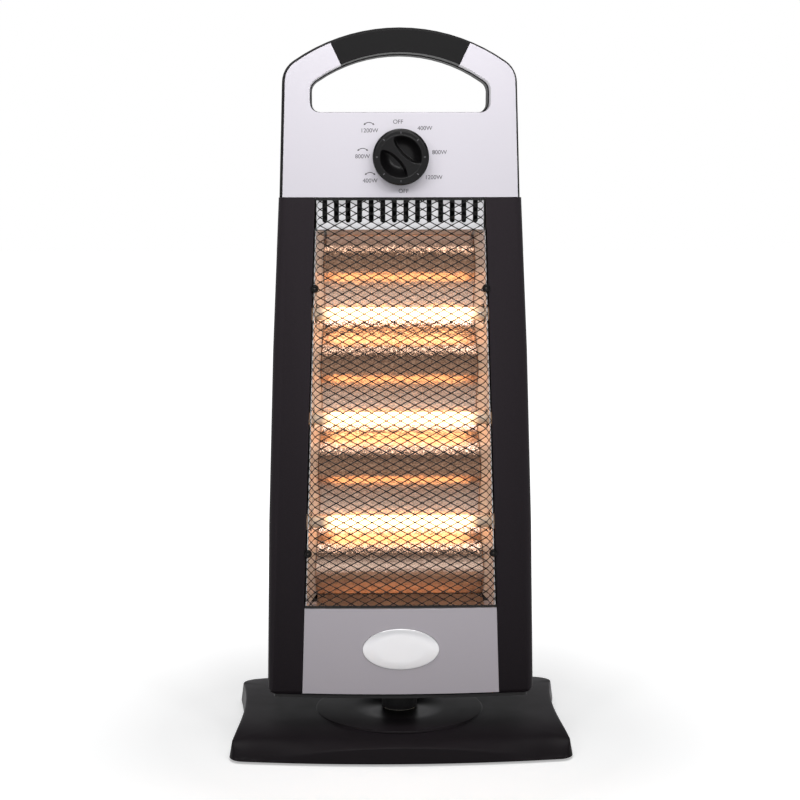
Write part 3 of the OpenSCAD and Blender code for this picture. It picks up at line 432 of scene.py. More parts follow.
def rolled_aluminium():
    # Bright-rolled aluminium sheet: a soft mirror with faint rolling lines 0.5 mm apart.
    material, tree, shader = finish("Aluminium_bright_rolled", Metallic=1.0, Roughness=0.3)
    lines = grain(tree, shader, pitch_mm=0.5, depth_mm=0.02, strength=0.08, stretch=(0.05, 1.0, 1.0))
    tint(tree, shader, lines, linear("E2E1E3"), linear("F2F1F3"))
    vary(tree, shader, lines, 0.24, 0.36)
    return material


def white_enamel():
    # Heat-proof white enamel fired on sheet steel: an even, softly glossy white that the lamps warm.
    material, tree, shader = finish("Enamel_fired_white", Roughness=0.3, IOR=1.5)
    ripple = grain(tree, shader, pitch_mm=4.0, depth_mm=0.02, strength=0.05)
    tint(tree, shader, ripple, linear("E9E8EA"), linear("F5F4F6"))
    vary(tree, shader, ripple, 0.25, 0.38)
    return material


def plated_steel(name="Steel_zinc_plated", code="A9A8A6", rough=0.36):
    # Zinc-plated pressed steel: cool grey metal with soft cloudy spangles 3 mm wide.
    material, tree, shader = finish(name, Metallic=1.0, Roughness=rough)
    clouds = grain(tree, shader, pitch_mm=3.0, depth_mm=0.02, strength=0.06)
    tint(tree, shader, clouds, shade(linear(code), 0.85), shade(linear(code), 1.1))
    vary(tree, shader, clouds, rough - 0.08, rough + 0.08)
    return material


def plain_moulding(name, code, rough=0.45):
    # Unpainted moulded nylon, thermoset or pressed ceramic: dull, with slight flow marks 2 mm wide.
    material, tree, shader = finish(name, Roughness=rough, IOR=1.53)
    marks = grain(tree, shader, pitch_mm=2.0, depth_mm=0.03, strength=0.1)
    tint(tree, shader, marks, shade(linear(code), 0.93), shade(linear(code), 1.04))
    return material


def white_lacquered_plate(colour):
    # White pearl lacquer on an aluminium plate: even and bright, with a faint clear coat.
    material, tree, shader = finish(
        "Aluminium_white_lacquered",
        Metallic=0.6,
        Roughness=0.3,
        IOR=1.5,
        Coat_Weight=0.4,
        Coat_Roughness=0.08,
    )
    film = grain(tree, shader, pitch_mm=5.0, depth_mm=0.01, strength=0.03)
    tint(tree, shader, film, shade(colour, 0.985), shade(colour, 1.0))
    return material


def dial_ink(colour):
    # Pad-printed ink on lacquer: matt grey, slightly uneven in its cover.
    material, tree, shader = finish("Ink_pad_printed", Roughness=0.55, IOR=1.5)
    cover = grain(tree, shader, pitch_mm=0.5, depth_mm=0.005, strength=0.05)
    tint(tree, shader, cover, shade(colour, 0.85), shade(colour, 1.2))
    return material


def braided_sleeve():
    # Glass-fibre sleeve, braided and varnished: tight crossing strands 1.2 mm wide.
    # A wave texture of scale 1 repeats every 0.31 of a unit.
    material, tree, shader = finish("Glass_fibre_sleeve_braided", Roughness=0.7, IOR=1.5)
    strand, lay, repeat = 1.2, 0.7, 0.31
    place = add(tree, "ShaderNodeTexCoord")
    turned = []
    for angle in (lay, -lay):
        spin = add(
            tree,
            "ShaderNodeMapping",
            values={"Rotation": (angle, 0.0, 0.0)},
            links={"Vector": place.outputs["Object"]},
        )
        wave = add(
            tree,
            "ShaderNodeTexWave",
            {"bands_direction": "Z"},
            {"Scale": repeat / (strand * MM)},
            {"Vector": spin.outputs["Vector"]},
        )
        turned.append(wave.outputs["Fac"])
    weave = add(tree, "ShaderNodeMath", {"operation": "MAXIMUM"})
    for i, socket in enumerate(turned):
        tree.links.new(socket, weave.inputs[i])
    bump = add(
        tree,
        "ShaderNodeBump",
        values={"Strength": 0.6, "Distance": 0.3 * MM},
        links={"Height": weave.outputs["Value"]},
    )
    tree.links.new(bump.outputs["Normal"], shader.inputs["Normal"])
    tint(tree, shader, weave.outputs["Value"], linear("151515"), linear("3A3836"))
    return material


def glowing_quartz():
    # Fused quartz tube lit from inside by its filament: white hot in the middle, and fading
    # over the last centimetres, where the winding ends.
    material, tree, shader = finish(
        "Quartz_glowing", Roughness=0.08, IOR=1.46, Base_Color=(0.9, 0.75, 0.6, 1.0)
    )
    place = add(tree, "ShaderNodeTexCoord")
    apart = add(tree, "ShaderNodeSeparateXYZ", links={"Vector": place.outputs["Object"]})
    side = add(tree, "ShaderNodeMath", {"operation": "ABSOLUTE"}, links={0: apart.outputs["X"]})
    along = add(
        tree,
        "ShaderNodeMapRange",
        {"interpolation_type": "SMOOTHSTEP"},
        {"From Min": BRIGHT_HALF * MM, "From Max": DIM_HALF * MM, "To Min": 1.0, "To Max": 0.02},
        {"Value": side.outputs["Value"]},
    )
    power = add(
        tree,
        "ShaderNodeMath",
        {"operation": "MULTIPLY"},
        {1: light().lamp_strength},
        {0: along.outputs["Result"]},
    )
    tree.links.new(power.outputs["Value"], shader.inputs["Emission Strength"])
    shader.inputs["Emission Color"].default_value = colour_of("glow")
    return material


def hot_tungsten():
    # Coiled tungsten wire at working heat: it shines by itself, brighter than the quartz.
    material, tree, shader = finish("Tungsten_hot", Metallic=1.0, Roughness=0.4)
    specks = grain(tree, shader, pitch_mm=0.3, depth_mm=0.01, strength=0.1)
    tint(tree, shader, specks, linear("B9A48F"), linear("E8D8C4"))
    shader.inputs["Emission Color"].default_value = colour_of("glow")
    shader.inputs["Emission Strength"].default_value = light().lamp_strength * 1.5
    return material


# ---- The heater's form, as its solids have it, in millimetres ----

BASE_W, BASE_D, BASE_CORNER, BASE_FLARE = 280.0, 204.0, 13.0, math.radians(8.5)
# Height of the base's top in its middle, and how far it falls to its edges and corners
CROWN_Z, FRONT_FALL, SIDE_FALL, FRONT_CORNER_FALL, REAR_CORNER_FALL = 21.3, 6.6, 1.4, 7.2, 3.4
NOSE_DROOP, NOSE_START, NOSE_RUN = 15.0, 0.82, 0.16
BASE_WALL, BORE_R, DISC_R, DISC_TOP, DISC_FOOT = 2.6, 9.1, 71.0, 21.5, 18.0
PIVOT_Y = -6.0
BODY_Z, BODY_H = 47.0, 407.0
CAP_Z = BODY_Z + BODY_H
MOUTH_FOOT_W, MOUTH_TOP_W = 162.6, 136.0
FRONT_Y = -66.0
BOW_R = 700.0
CHAMBER_Z = 120.9
LAMP_Y, LAMP_MID_Z, LAMP_PITCH = -50.0, 275.6, 85.2
# Half lengths over which a lamp shines in full and beyond which it is dim
BRIGHT_HALF, DIM_HALF = 50.0, 65.0
RIDGE_Y, TROUGH_DEPTH, SHEET = -26.0, 12.0, 0.8
# The reflector's painted reflection is pale below the first level, and takes its painted dark and pale bands
# above the second
PAINTED_PALE_BELOW_Z, PAINTED_BANDS_ABOVE_Z = 148.0, 158.0
# Distance of each cheek from the edge of its column, in front and at the rear
CHEEK_EDGE, CHEEK_LEAN = 1.2, 8.5
CHEEK_FRONT_Y, CHEEK_REAR_Y = -61.0, -13.2
GUARD_Y = -63.0
DIAL_RISE = 32.0
DIAL_Z = CAP_Z + DIAL_RISE
LAMP_LEVELS = {
    "upper": LAMP_MID_Z + LAMP_PITCH,
    "middle": LAMP_MID_Z,
    "lower": LAMP_MID_Z - LAMP_PITCH,
}


def mouth(z):
    """Half of the clear width between the columns."""
    return (MOUTH_FOOT_W + (MOUTH_TOP_W - MOUTH_FOOT_W) * (z - BODY_Z) / BODY_H) / 2


def front_at(x):
    """The bowed front face at a distance x from the middle."""
    return FRONT_Y + x * x / (2 * BOW_R)


# ---- Base ----


def base_outline(steps):
    """The hourglass plan of the base, once round, from the front's middle."""
    half_x, flare = BASE_W / 2 - BASE_CORNER, BASE_FLARE
    front_x = half_x + BASE_CORNER * math.sin(flare)
    side_x = half_x + BASE_CORNER * math.cos(flare)
    bow = front_x * math.tan(flare) / 2
    half_y = BASE_D / 2 - BASE_CORNER * math.cos(flare) - bow
    side_y = half_y - BASE_CORNER * math.sin(flare)
    waist = side_y * math.tan(flare) / 2
    across = np.linspace(0, 1, steps, endpoint=False)
    quarter = [(front_x * t, bow * t * t - BASE_D / 2) for t in across]
    for a in np.linspace(flare - math.pi / 2, flare, steps // 2 + 1):
        quarter.append((half_x + BASE_CORNER * math.cos(a), BASE_CORNER * math.sin(a) - half_y))
    for t in np.linspace(1, 0, steps // 2 + 1)[1:]:
        quarter.append((side_x - waist * (1 - t * t), -side_y * t))
    right = quarter + [(x, -y) for x, y in quarter[-2::-1]]
    return right + [(-x, y) for x, y in right[-2:0:-1]]


def crown(x, y):
    """Height of the base's top over a point of its plan."""
    across = (2 * x / BASE_W) ** 2
    front = max(-2 * y / BASE_D, 0) ** 4
    back = max(2 * y / BASE_D, 0) ** 4
    corners = SIDE_FALL + FRONT_CORNER_FALL * front + REAR_CORNER_FALL * back
    return CROWN_Z - FRONT_FALL * front - across * corners


def nose(outline, share):
    """How far the front's edge droops at each point, more so towards the ends of its crease."""
    drops = []
    near_edge = (max(share - NOSE_START, 0) / NOSE_RUN) ** 2
    for i, point in enumerate(outline):
        after, before = outline[(i + 1) % len(outline)], outline[i - 1]
        dx, dy = after[0] - before[0], after[1] - before[1]
        facing = max(dx, 0) ** 2 / (dx * dx + dy * dy)
        sideways = (2 * abs(point[0]) / BASE_W) ** 2.2
        drops.append(NOSE_DROOP * facing * sideways * near_edge)
    return drops


def build_base():
    black = gloss_abs("ABS_polished_black", colour_of("base"))
    outline = base_outline(24)
    bore = []
    for x, y in outline:
        pull = BORE_R / math.hypot(x, y)
        bore.append((x * pull, y * pull + PIVOT_Y))

    def ring(share, drop=0.0, level=None):
        """The outline drawn in to a share, centred on the pivot in the middle and on the base outside."""
        centre = PIVOT_Y * min(max((0.6 - share) / 0.4, 0), 1)
        points = []
        for (x, y), droop in zip(outline, nose(outline, share)):
            x, y = x * share, y * share + centre
            height = max(crown(x, y) - droop, 3.0) - drop if level is None else level
            points.append((x, y, height))
        return points

    crease, foot = ring(0.985, 0.75), ring(1.0, level=2.3)

    def fascia(way):
        """A ring between the crease and the foot of the base's upright edge."""
        return [tuple(c + (f - c) * way for c, f in zip(*pair)) for pair in zip(crease, foot)]

    rings = [[(x, y, crown(x, y)) for x, y in bore]]
    rings += [ring(s) for s in (0.14, 0.25, 0.36, 0.46, 0.55, 0.63, 0.7, 0.76, 0.81)]
    rings += [ring(s) for s in (0.84, 0.865, 0.89, 0.91, 0.93, 0.945, 0.958, 0.967)]
    rings += [ring(0.977, 0.08), ring(0.982, 0.32), crease]
    rings += [fascia(t) for t in (0.12, 0.35, 0.65, 0.93, 1.0)]
    for share, level in ((0.998, 2.05), (0.991, 2.0), (0.981, 2.0), (0.979, 2.6)):
        rings.append(ring(share, level=level))
    rings += [ring(s, BASE_WALL) for s in (0.93, 0.85, 0.7, 0.45, 0.2)]
    rings.append([(x, y, crown(x, y) - BASE_WALL) for x, y in bore])
    rings.append(rings[0])
    points, faces = loft(rings)
    new_piece("Base_moulding", points, faces, black, "base", ["base_shell"])
    profile = [(BORE_R, DISC_TOP - 0.5), (BORE_R, DISC_TOP), (40.0, DISC_TOP)]
    profile += [(DISC_R - back, DISC_TOP - down) for back, down in ((1.4, 0.0), (0.5, 0.15), (0.0, 0.6))]
    profile += [(DISC_R, DISC_FOOT), (BORE_R, DISC_FOOT), (BORE_R, DISC_TOP - 0.5)]
    disc = lathe(profile, 128, lambda x, y, h: (x, y + PIVOT_Y, h))
    points, faces = loft(disc)
    new_piece("Base_disc", points, faces, black, "base", ["base_shell"])
    dress(["base_plate", "body_floor"], satin_abs("ABS_eroded_black_covers", colour_of("rear"), rough=0.5))
    dress(["base_feet"], moulded_rubber("Rubber_moulded_feet", linear("101010")), width=0.4)


# ---- Lower panel and plate ----

PLATE_STEPS = 96


def build_panel():
    silver = lacquer("Lacquer_silver_panel", colour_of("panel"), metal=0.3)
    dress(["lower_panel"], silver, width=0.8, segments=3)
    low, high = box_mm("badge")
    mid = [(a + b) / 2 for a, b in zip(low, high)]
    half_w, half_h = (high[0] - low[0]) / 2, (high[2] - low[2]) / 2
    angles = [2 * math.pi * i / PLATE_STEPS for i in range(PLATE_STEPS)]
    depth = high[1] - low[1]
    rings = []
    for share, back in ((1.0, depth), (1.0, 0.7), (0.992, 0.35), (0.975, 0.12), (0.6, 0.02), (0.2, 0.0)):
        w, h, y = half_w * share, half_h * share, low[1] + back
        rings.append([(mid[0] + w * math.cos(a), y, mid[2] + h * math.sin(a)) for a in angles])
    points, faces = loft(rings, start_cap=True, end_cap=True)
    white = white_lacquered_plate(colour_of("plate"))
    new_piece("Oval_plate", points, faces, white, "heater", ["badge"])


# ---- Mouldings ----


def build_case():
    satin = satin_abs("ABS_satin_black", colour_of("column"), rough=0.46, specular=0.05)
    dress(["column_left", "column_right"], satin, width=0.6, segments=2)
    rear = satin_abs("ABS_eroded_black", colour_of("rear"), rough=0.55, pitch_mm=1.1, bump=0.1, specular=0.25)
    dress(["rear_shell"], rear)
    dress(["cap_rear"], rear, width=0.9, segments=3)


def build_cap():
    silver = lacquer("Lacquer_silver_cap", colour_of("cap"))
    dress(["cap_front"], silver, width=sizes().edge_round / MM, segments=3)
    soft = moulded_rubber("Rubber_moulded_grip", colour_of("grip"), rough=0.5)
    dress(["handle_grip"], soft, width=1.2, segments=3)


# ---- Dial ----

KNOB_R, KNOB_H, KNOB_STEPS = 22.0, 15.0, 144
KNOB_TURN = math.radians(135)
# The face falls off outside this radius
FALL_R, FALL_RUN, FALL = 19.6, 2.4, 1.6
# The bar between the two scoops: half its width in the middle, and how it widens to its ends
BAR_HALF, BAR_FLARE, BAR_SKEW, BAR_REACH = 3.0, 4.6, 0.9, 15.5
SCOOP_R, SCOOP_DEPTH, SCOOP_RUN, SCOOP_WALL = 16.4, 7.4, 9.5, 1.1
LIP_W, LIP_H = 0.9, 0.18
TICKS, TICK_IN, TICK_OUT, TICK_HALF = 8, 18.0, 19.5, 0.35
# Places of the print, from the middle of the dial
MARKS = (
    ("OFF", -1.9, 27.4),
    ("400W", 19.2, 22.4),
    ("800W", 30.8, 3.6),
    ("1200W", 26.2, -16.0),
    ("OFF", 2.4, -26.8),
    ("400W", -24.0, -18.6),
    ("800W", -30.0, 0.4),
    ("1200W", -24.5, 20.6),
)
SWEEPS = ((-24.0, -12.7), (-29.8, 6.2), (-24.8, 26.4))
SWEEP_R, SWEEP_HALF, SWEEP_ARC = 5.0, 0.28, (math.radians(52), math.radians(128))
ARROW_LENGTH, ARROW_HALF = 1.5, 0.9
PRINT_DEPTH, PRINT_PROUD, SWEEP_PROUD, SWEEP_LIFT = 0.03, 0.04, 0.05, 0.6


def knob_height(x, z):
    """Height of the knob's face over its back at a point of its round, in its own axes."""
    r = math.hypot(x, z)
    top = KNOB_H
    if r > FALL_R:
        top -= FALL * ((r - FALL_R) / FALL_RUN) ** 2
    skew = BAR_SKEW * min(max(z, 0) / BAR_REACH, 1.0) ** 2
    bar = BAR_HALF + BAR_FLARE * min(abs(z) / BAR_REACH, 1.0) ** 2.6 + skew
    if r < SCOOP_R and abs(x) > bar - SCOOP_WALL:
        wall = min(max((abs(x) - bar + SCOOP_WALL) / (2 * SCOOP_WALL), 0.0), 1.0)
        wall = wall * wall * (3 - 2 * wall)
        rise = min(max((SCOOP_R - r) / SCOOP_RUN, 0.0), 1.0)
        top -= SCOOP_DEPTH * wall * (1 - (1 - rise) ** 2.0)
    elif SCOOP_R <= r < SCOOP_R + LIP_W:
        top += LIP_H * math.sin(math.pi * (r - SCOOP_R) / LIP_W)
    return top


def build_dial():
    grey = satin_abs(
        "ABS_moulded_dark_grey", colour_of("knob"), rough=0.3, pitch_mm=0.8, bump=0.08, specular=0.2
    )
    back = FRONT_Y - 0.8

    def ring(r, height=None):
        """One ring of the turned knob, on its face or at a height of its side."""
        points = []
        for i in range(KNOB_STEPS):
            a = 2 * math.pi * i / KNOB_STEPS
            x, z = r * math.sin(a), r * math.cos(a)
            h = knob_height(x, z) if height is None else height
            wx = x * math.cos(KNOB_TURN) + z * math.sin(KNOB_TURN)
            wz = -x * math.sin(KNOB_TURN) + z * math.cos(KNOB_TURN)
            points.append((wx, back - h, DIAL_Z + wz))
        return points

    rings = [ring(r) for r in np.linspace(0.4, 19.2, 48)]
    rings += [ring(r) for r in (FALL_R, 20.1, 20.6, 21.1, 21.5, 21.8, KNOB_R)]
    rings += [ring(KNOB_R, h) for h in (12.8, 8.0, 0.6)]
    rings += [ring(KNOB_R - 0.5, 0.1), ring(3.1, 0.0)]
    points, faces = loft(rings, start_cap=True, end_cap=True)
    new_piece("Dial_knob", points, faces, grey, "knob", ["knob"])
    build_ticks(back)
    build_print()
    dress(["switch_spindle"], plated_steel("Steel_spindle_turned"), width=0.2)


def build_ticks(back):
    """Eight short printed lines near the rim of the knob's face, one for each position."""
    ink = plain_moulding("Ink_tick_marks", "5C5A5E", rough=0.5)
    points, faces = [], []
    for k in range(TICKS):
        a = 2 * math.pi * k / TICKS
        along = Vector((math.sin(a), 0, math.cos(a)))
        across = Vector((math.cos(a), 0, -math.sin(a)))
        for r, side in ((TICK_IN, -1), (TICK_OUT, -1), (TICK_OUT, 1), (TICK_IN, 1)):
            p = along * r + across * side * TICK_HALF
            for y in (back - KNOB_H - 0.04, back - KNOB_H + 0.4):
                points.append((p.x, y, DIAL_Z + p.z))
        n = k * 8
        faces += [(n, n + 2, n + 4, n + 6), (n + 1, n + 7, n + 5, n + 3)]
        faces += [(n + j, n + j + 1, n + (j + 3) % 8, n + (j + 2) % 8) for j in (0, 2, 4, 6)]
    new_piece("Knob_ticks", points, faces, ink, "knob", None, smooth=False)


def build_print():
    """Figures and small sweep arrows beside the knob, a hair proud of the cap's front."""
    ink = dial_ink(colour_of("ink"))
    points, faces = [], []
    for body, x, z in MARKS:
        curve = bpy.data.curves.new("Print", "FONT")
        curve.body = body
        curve.size = sizes().print_height
        curve.align_x, curve.align_y = "CENTER", "CENTER"
        curve.extrude = PRINT_DEPTH * MM
        text = bpy.data.objects.new("Print", curve)
        bpy.context.collection.objects.link(text)
        bpy.context.view_layer.update()
        mesh = bpy.data.meshes.new_from_object(text)
        n = len(points)
        for v in mesh.vertices:
            px = x + v.co.x / MM
            points.append((px, front_at(px) - PRINT_PROUD - v.co.z / MM, DIAL_Z + z + v.co.y / MM))
        faces += [tuple(n + i for i in polygon.vertices) for polygon in mesh.polygons]
        bpy.data.objects.remove(text)
        bpy.data.meshes.remove(mesh)
        bpy.data.curves.remove(curve)
    for x, z in SWEEPS:
        add_sweep_arrow(points, faces, x, DIAL_Z + z)
    new_piece("Dial_print", points, faces, ink, "heater", None, smooth=False)


def add_sweep_arrow(points, faces, x, z):
    """A short arc with a head at each end: the mark for turning from side to side."""
    middle = z - SWEEP_R + SWEEP_LIFT
    angles = np.linspace(*SWEEP_ARC, 9)
    n = len(points)
    for a in angles:
        for r in (SWEEP_R - SWEEP_HALF, SWEEP_R + SWEEP_HALF):
            px = x + r * math.cos(a)
            points.append((px, front_at(px) - SWEEP_PROUD, middle + r * math.sin(a)))
    faces += [(n + 2 * i, n + 2 * i + 1, n + 2 * i + 3, n + 2 * i + 2) for i in range(len(angles) - 1)]
    for a, way in ((angles[0], -1), (angles[-1], 1)):
        n = len(points)
        cx, cz = x + SWEEP_R * math.cos(a), middle + SWEEP_R * math.sin(a)
        dx, dz = -math.sin(a) * way, math.cos(a) * way
        for ahead, aside in ((ARROW_LENGTH, 0), (0, ARROW_HALF), (0, -ARROW_HALF)):
            px, pz = cx + dx * ahead + dz * aside, cz + dz * ahead - dx * aside
            points.append((px, front_at(px) - SWEEP_PROUD, pz))
        faces.append((n, n + 1, n + 2))


# ---- Guard ----

# Half width of the open mesh at the guard's top, and how much wider it gets down its height
OPEN_HALF_TOP, OPEN_SPREAD, OPEN_SPAN, GUARD_MARGIN = 65.3, 5.5, 323.0, 2.0
GUARD_GAP, GUARD_END_GAP, SIDE_SET_BACK = 0.5, 0.6, 0.8
GUARD_REACH, STRAND_STOPS = 95.0, 34
# Width of a strand at its knots and between them, over the strand's mean width
KNOT_SHARE, LEG_SHARE = 1.18, 0.9
CLIP_R, CLIP_LEVELS = 3.3, (119.6, 335.0)


def bend(z):
    """Half width of the guard's open mesh, outside which its diamonds are drawn together."""
    return OPEN_HALF_TOP + OPEN_SPREAD * (CAP_Z - GUARD_MARGIN - z) / OPEN_SPAN


def side_strip(z):
    """Room beside the open mesh, and the width of the sheet that is drawn together into it."""
    room = mouth(z) - GUARD_GAP - bend(z)
    return room, math.hypot(room, sizes().drawn_in / MM)


def reach(z):
    """Half width of the guard's sheet, with its sides drawn out flat."""
    return bend(z) + side_strip(z)[1]


def on_guard(u, z):
    """The place of a point of the guard's sheet at a distance u across it."""
    y = GUARD_Y + GUARD_GAP
    over = abs(u) - bend(z)
    if over <= 0:
        return Vector((u, y, z))
    room, width = side_strip(z)
    share = over / width
    return Vector((math.copysign(bend(z) + room * share, u), y + SIDE_SET_BACK * share, z))


def build_guard():
    s = sizes()
    width, height = s.diamond_width / MM, s.diamond_height / MM
    half_w, half_t = s.strand_width / MM / 2, s.strand_thickness / MM / 2
    slope = height / width
    low, high = CHAMBER_Z + GUARD_END_GAP, CAP_Z - GUARD_END_GAP
    first = math.floor((low - GUARD_REACH * slope) / height)
    last = math.ceil((high + GUARD_REACH * slope) / height)
    points, faces = [], []
    for way in (1, -1):
        for k in range(first, last + 1):
            strand = []
            for j in range(-STRAND_STOPS, STRAND_STOPS + 1):
                u = j * width / 4
                z = k * height + way * slope * u
                if low <= z <= high and abs(u) <= reach(z):
                    at_knot = j % 2 == 0
                    strand.append((u, z, half_w * (KNOT_SHARE if at_knot else LEG_SHARE)))
            if len(strand) >= 2:
                add_strand(points, faces, strand, math.atan(slope), way, half_t)
    for z0, z1 in ((low - 0.4, low + 1.6), (high - 1.4, high + 0.4)):
        add_band(points, faces, z0, z1, half_t * 1.1)
    black = stove_enamel()
    new_piece("Mesh_guard", points, faces, black, "heater", ["grille"], smooth=False)
    build_clips()


def add_strand(points, faces, strand, tilt, way, half_t):
    """One slanting strand through (u, z, half width) stops, square in section."""
    n = len(points)
    for u, z, w in strand:
        for across, out in ((-1, -1), (1, -1), (1, 1), (-1, 1)):
            du, dz = -math.sin(tilt) * way * w * across, math.cos(tilt) * w * across
            spot = on_guard(u + du, z + dz)
            points.append((spot.x, spot.y - half_t * out, spot.z))
    for i in range(len(strand) - 1):
        a = n + 4 * i
        for c in range(4):
            faces.append((a + c, a + (c + 1) % 4, a + 4 + (c + 1) % 4, a + 4 + c))
    faces.append((n + 3, n + 2, n + 1, n))
    end = n + 4 * (len(strand) - 1)
    faces.append((end, end + 1, end + 2, end + 3))


def add_band(points, faces, z0, z1, half_t):
    """A flat edge band along the guard's top or foot."""
    n = len(points)
    for u in (-reach(z0), -bend(z0), bend(z0), reach(z0)):
        for z in (z0, z1):
            for out in (-1, 1):
                spot = on_guard(u, z)
                points.append((spot.x, spot.y - half_t * out, spot.z))
    for i in range(3):
        a, b = n + 4 * i, n + 4 * i + 4
        faces += [(a, b, b + 2, a + 2), (a + 1, a + 3, b + 3, b + 1)]
        faces += [(a, a + 1, b + 1, b), (a + 2, b + 2, b + 3, a + 3)]
    faces += [(n, n + 2, n + 3, n + 1), (n + 12, n + 13, n + 15, n + 14)]


def build_clips():
    """Four push-in clips: a black domed collar with a darker brown pin in the middle."""
    black = satin_abs(
        "Nylon_moulded_black_clips", linear("0B0A0A"), rough=0.35, pitch_mm=0.8, bump=0.05, specular=0.15
    )
    pin = plain_moulding("Nylon_moulded_brown_pins", "2A211C", rough=0.4)
    collar = [(0.3, 1.2), (1.1, 1.2), (1.25, 1.9), (1.8, 2.2), (2.6, 1.9), (3.1, 1.2)]
    collar += [(CLIP_R, 0.4), (CLIP_R, 0.0), (0.3, 0.0)]
    stud = [(0.1, 1.75), (0.6, 1.7), (0.95, 1.45), (1.05, 1.1), (0.1, 1.1)]
    for profile, material, name in ((collar, black, "Guard_clips"), (stud, pin, "Guard_clip_pins")):
        points, faces = [], []
        for level in CLIP_LEVELS:
            z = BODY_Z + level
            for side in (-1, 1):
                x = side * (mouth(z) - CLIP_R * 0.6)
                rings = lathe(profile, 32, lambda a, b, h, x=x, z=z: (x + a, GUARD_Y - h, z + b))
                p, f = loft(rings, start_cap=True, end_cap=True)
                n = len(points)
                points += p
                faces += [tuple(n + i for i in face) for face in f]
        new_piece(name, points, faces, material, "heater", ["grille_clips"])


# ---- Reflector ----

# About the reflector's width; how far its face stands off the solid's; where its dimples fade
REFLECTOR_W, STAND_OFF, FADE_SHARE, FADE_LENGTH = 140.0, 0.3, 30, 2


def trough(z):
    """Front face of the reflector: a hollow behind each lamp, a ridge between lamps."""
    phase = (z - LAMP_MID_Z) * 2 * np.pi / LAMP_PITCH
    return RIDGE_Y + TROUGH_DEPTH / 2 * (1 + np.cos(phase))


def dimples(x, z, pitch):
    """Depth share of a hammered pattern at each point: 1 in the middle of a dimple."""
    rng = np.random.default_rng(7)
    cells, spread = 512, 0.75
    jitter = rng.random((cells, cells, 2))
    gx, gz = x / pitch, z / pitch
    ix, iz = np.floor(gx).astype(int), np.floor(gz).astype(int)
    best = np.full(x.shape, 9.0)
    for dx in (-1, 0, 1):
        for dz in (-1, 0, 1):
            cx, cz = ix + dx, iz + dz
            seed = jitter[cx % cells, cz % cells]
            best = np.minimum(best, np.hypot(cx + seed[..., 0] - gx, cz + seed[..., 1] - gz))
    return np.clip(1 - (best / spread) ** 2, 0, 1)


def build_reflector():
    low, high = box_mm("reflector")
    step = 0.85
    z = np.linspace(low[2] + 0.01, high[2] - 0.01, int((high[2] - low[2]) / step))
    share = np.linspace(-1, 1, int(REFLECTOR_W / step))
    # The sheet ends 1.5 thicknesses inside the cheeks, which lean inwards to the rear
    lean = (trough(z) - CHEEK_FRONT_Y) / (CHEEK_REAR_Y - CHEEK_FRONT_Y)
    half = mouth(z) - CHEEK_EDGE - (CHEEK_LEAN - CHEEK_EDGE) * lean - 1.5 * SHEET
    x = share[None, :] * half[:, None]
    zz = np.repeat(z[:, None], len(share), axis=1)
    pitch = sizes().dimple_pitch / MM
    push = dimples(x, zz, pitch) * sizes().dimple_depth / MM
    # The dimples fade out along the sheet's edges
    calm_sides = np.clip((1 - np.abs(share)) * FADE_SHARE, 0, 1)
    calm_ends = np.clip(np.minimum(z - z[0], z[-1] - z) / FADE_LENGTH, 0, 1)
    front = trough(zz) + STAND_OFF + push * (calm_sides[None, :] * calm_ends[:, None])
    # Two grids of points, front and rear, with their faces and a rim that joins them
    rows, columns = x.shape
    grid = np.stack([x, front, zz], axis=-1).reshape(-1, 3)
    back = np.maximum(trough(zz) + SHEET, front + STAND_OFF)
    rear = np.stack([x, back, zz], axis=-1).reshape(-1, 3)
    points = np.concatenate([grid, rear]).tolist()
    index = np.arange(rows * columns).reshape(rows, columns)
    a, b, c, d = index[:-1, :-1], index[:-1, 1:], index[1:, 1:], index[1:, :-1]
    faces = np.stack([a, b, c, d], -1).reshape(-1, 4)
    offset = rows * columns
    faces = np.concatenate([faces, np.stack([d, c, b, a], -1).reshape(-1, 4) + offset]).tolist()
    rim = list(index[0, :]) + list(index[1:, -1]) + list(index[-1, -2::-1]) + list(index[-2:0:-1, 0])
    for p, q in zip(rim, rim[1:] + rim[:1]):
        faces.append((int(q), int(p), int(p) + offset, int(q) + offset))
    sheet = hammered_aluminium()
    new_piece("Hammered_reflector", points, faces, sheet, "heater", ["reflector"])
    dress(["cheek_left", "cheek_right"], white_enamel())
    dress(["reflector_top"], rolled_aluminium())
    # The floor plate's steel is tinted warm brown
    dress(["reflector_floor"], plated_steel("Steel_heat_tarnished", "A6907F", rough=0.3))
    dress(["heat_shield"], plated_steel("Steel_aluminised_shield", "B5B4B2", rough=0.4))


# ---- Lamps ----


def build_lamps():
    quartz = glowing_quartz()
    hot = hot_tungsten()
    dress(["lamp_upper", "lamp_middle", "lamp_lower"], quartz)
    ceramic = plain_moulding("Steatite_pressed_white", "E8E2D6", rough=0.5)
    dress(["lamp_caps_upper", "lamp_caps_middle", "lamp_caps_lower"], ceramic, width=0.5)
    pitch = sizes().coil_pitch / MM
    for where, level in LAMP_LEVELS.items():
        points, faces = coil(level, pitch)
        name, node = "Filament_coil_" + where, "filament_" + where
        new_piece(name, points, faces, hot, "heater", [node])
    dress(["bracket_left", "bracket_right"], plated_steel("Steel_lamp_brackets"), width=0.1)


def heading(path, i):
    """Direction of a path at its point i."""
    return (path[min(i + 1, len(path) - 1)] - path[max(i - 1, 0)]).normalized()


def section(p, side, up, wire, steps):
    """A round ring of a wire's section about p."""
    angles = [2 * math.pi * i / steps for i in range(steps)]
    return [tuple(p + side * wire * math.cos(a) + up * wire * math.sin(a)) for a in angles]


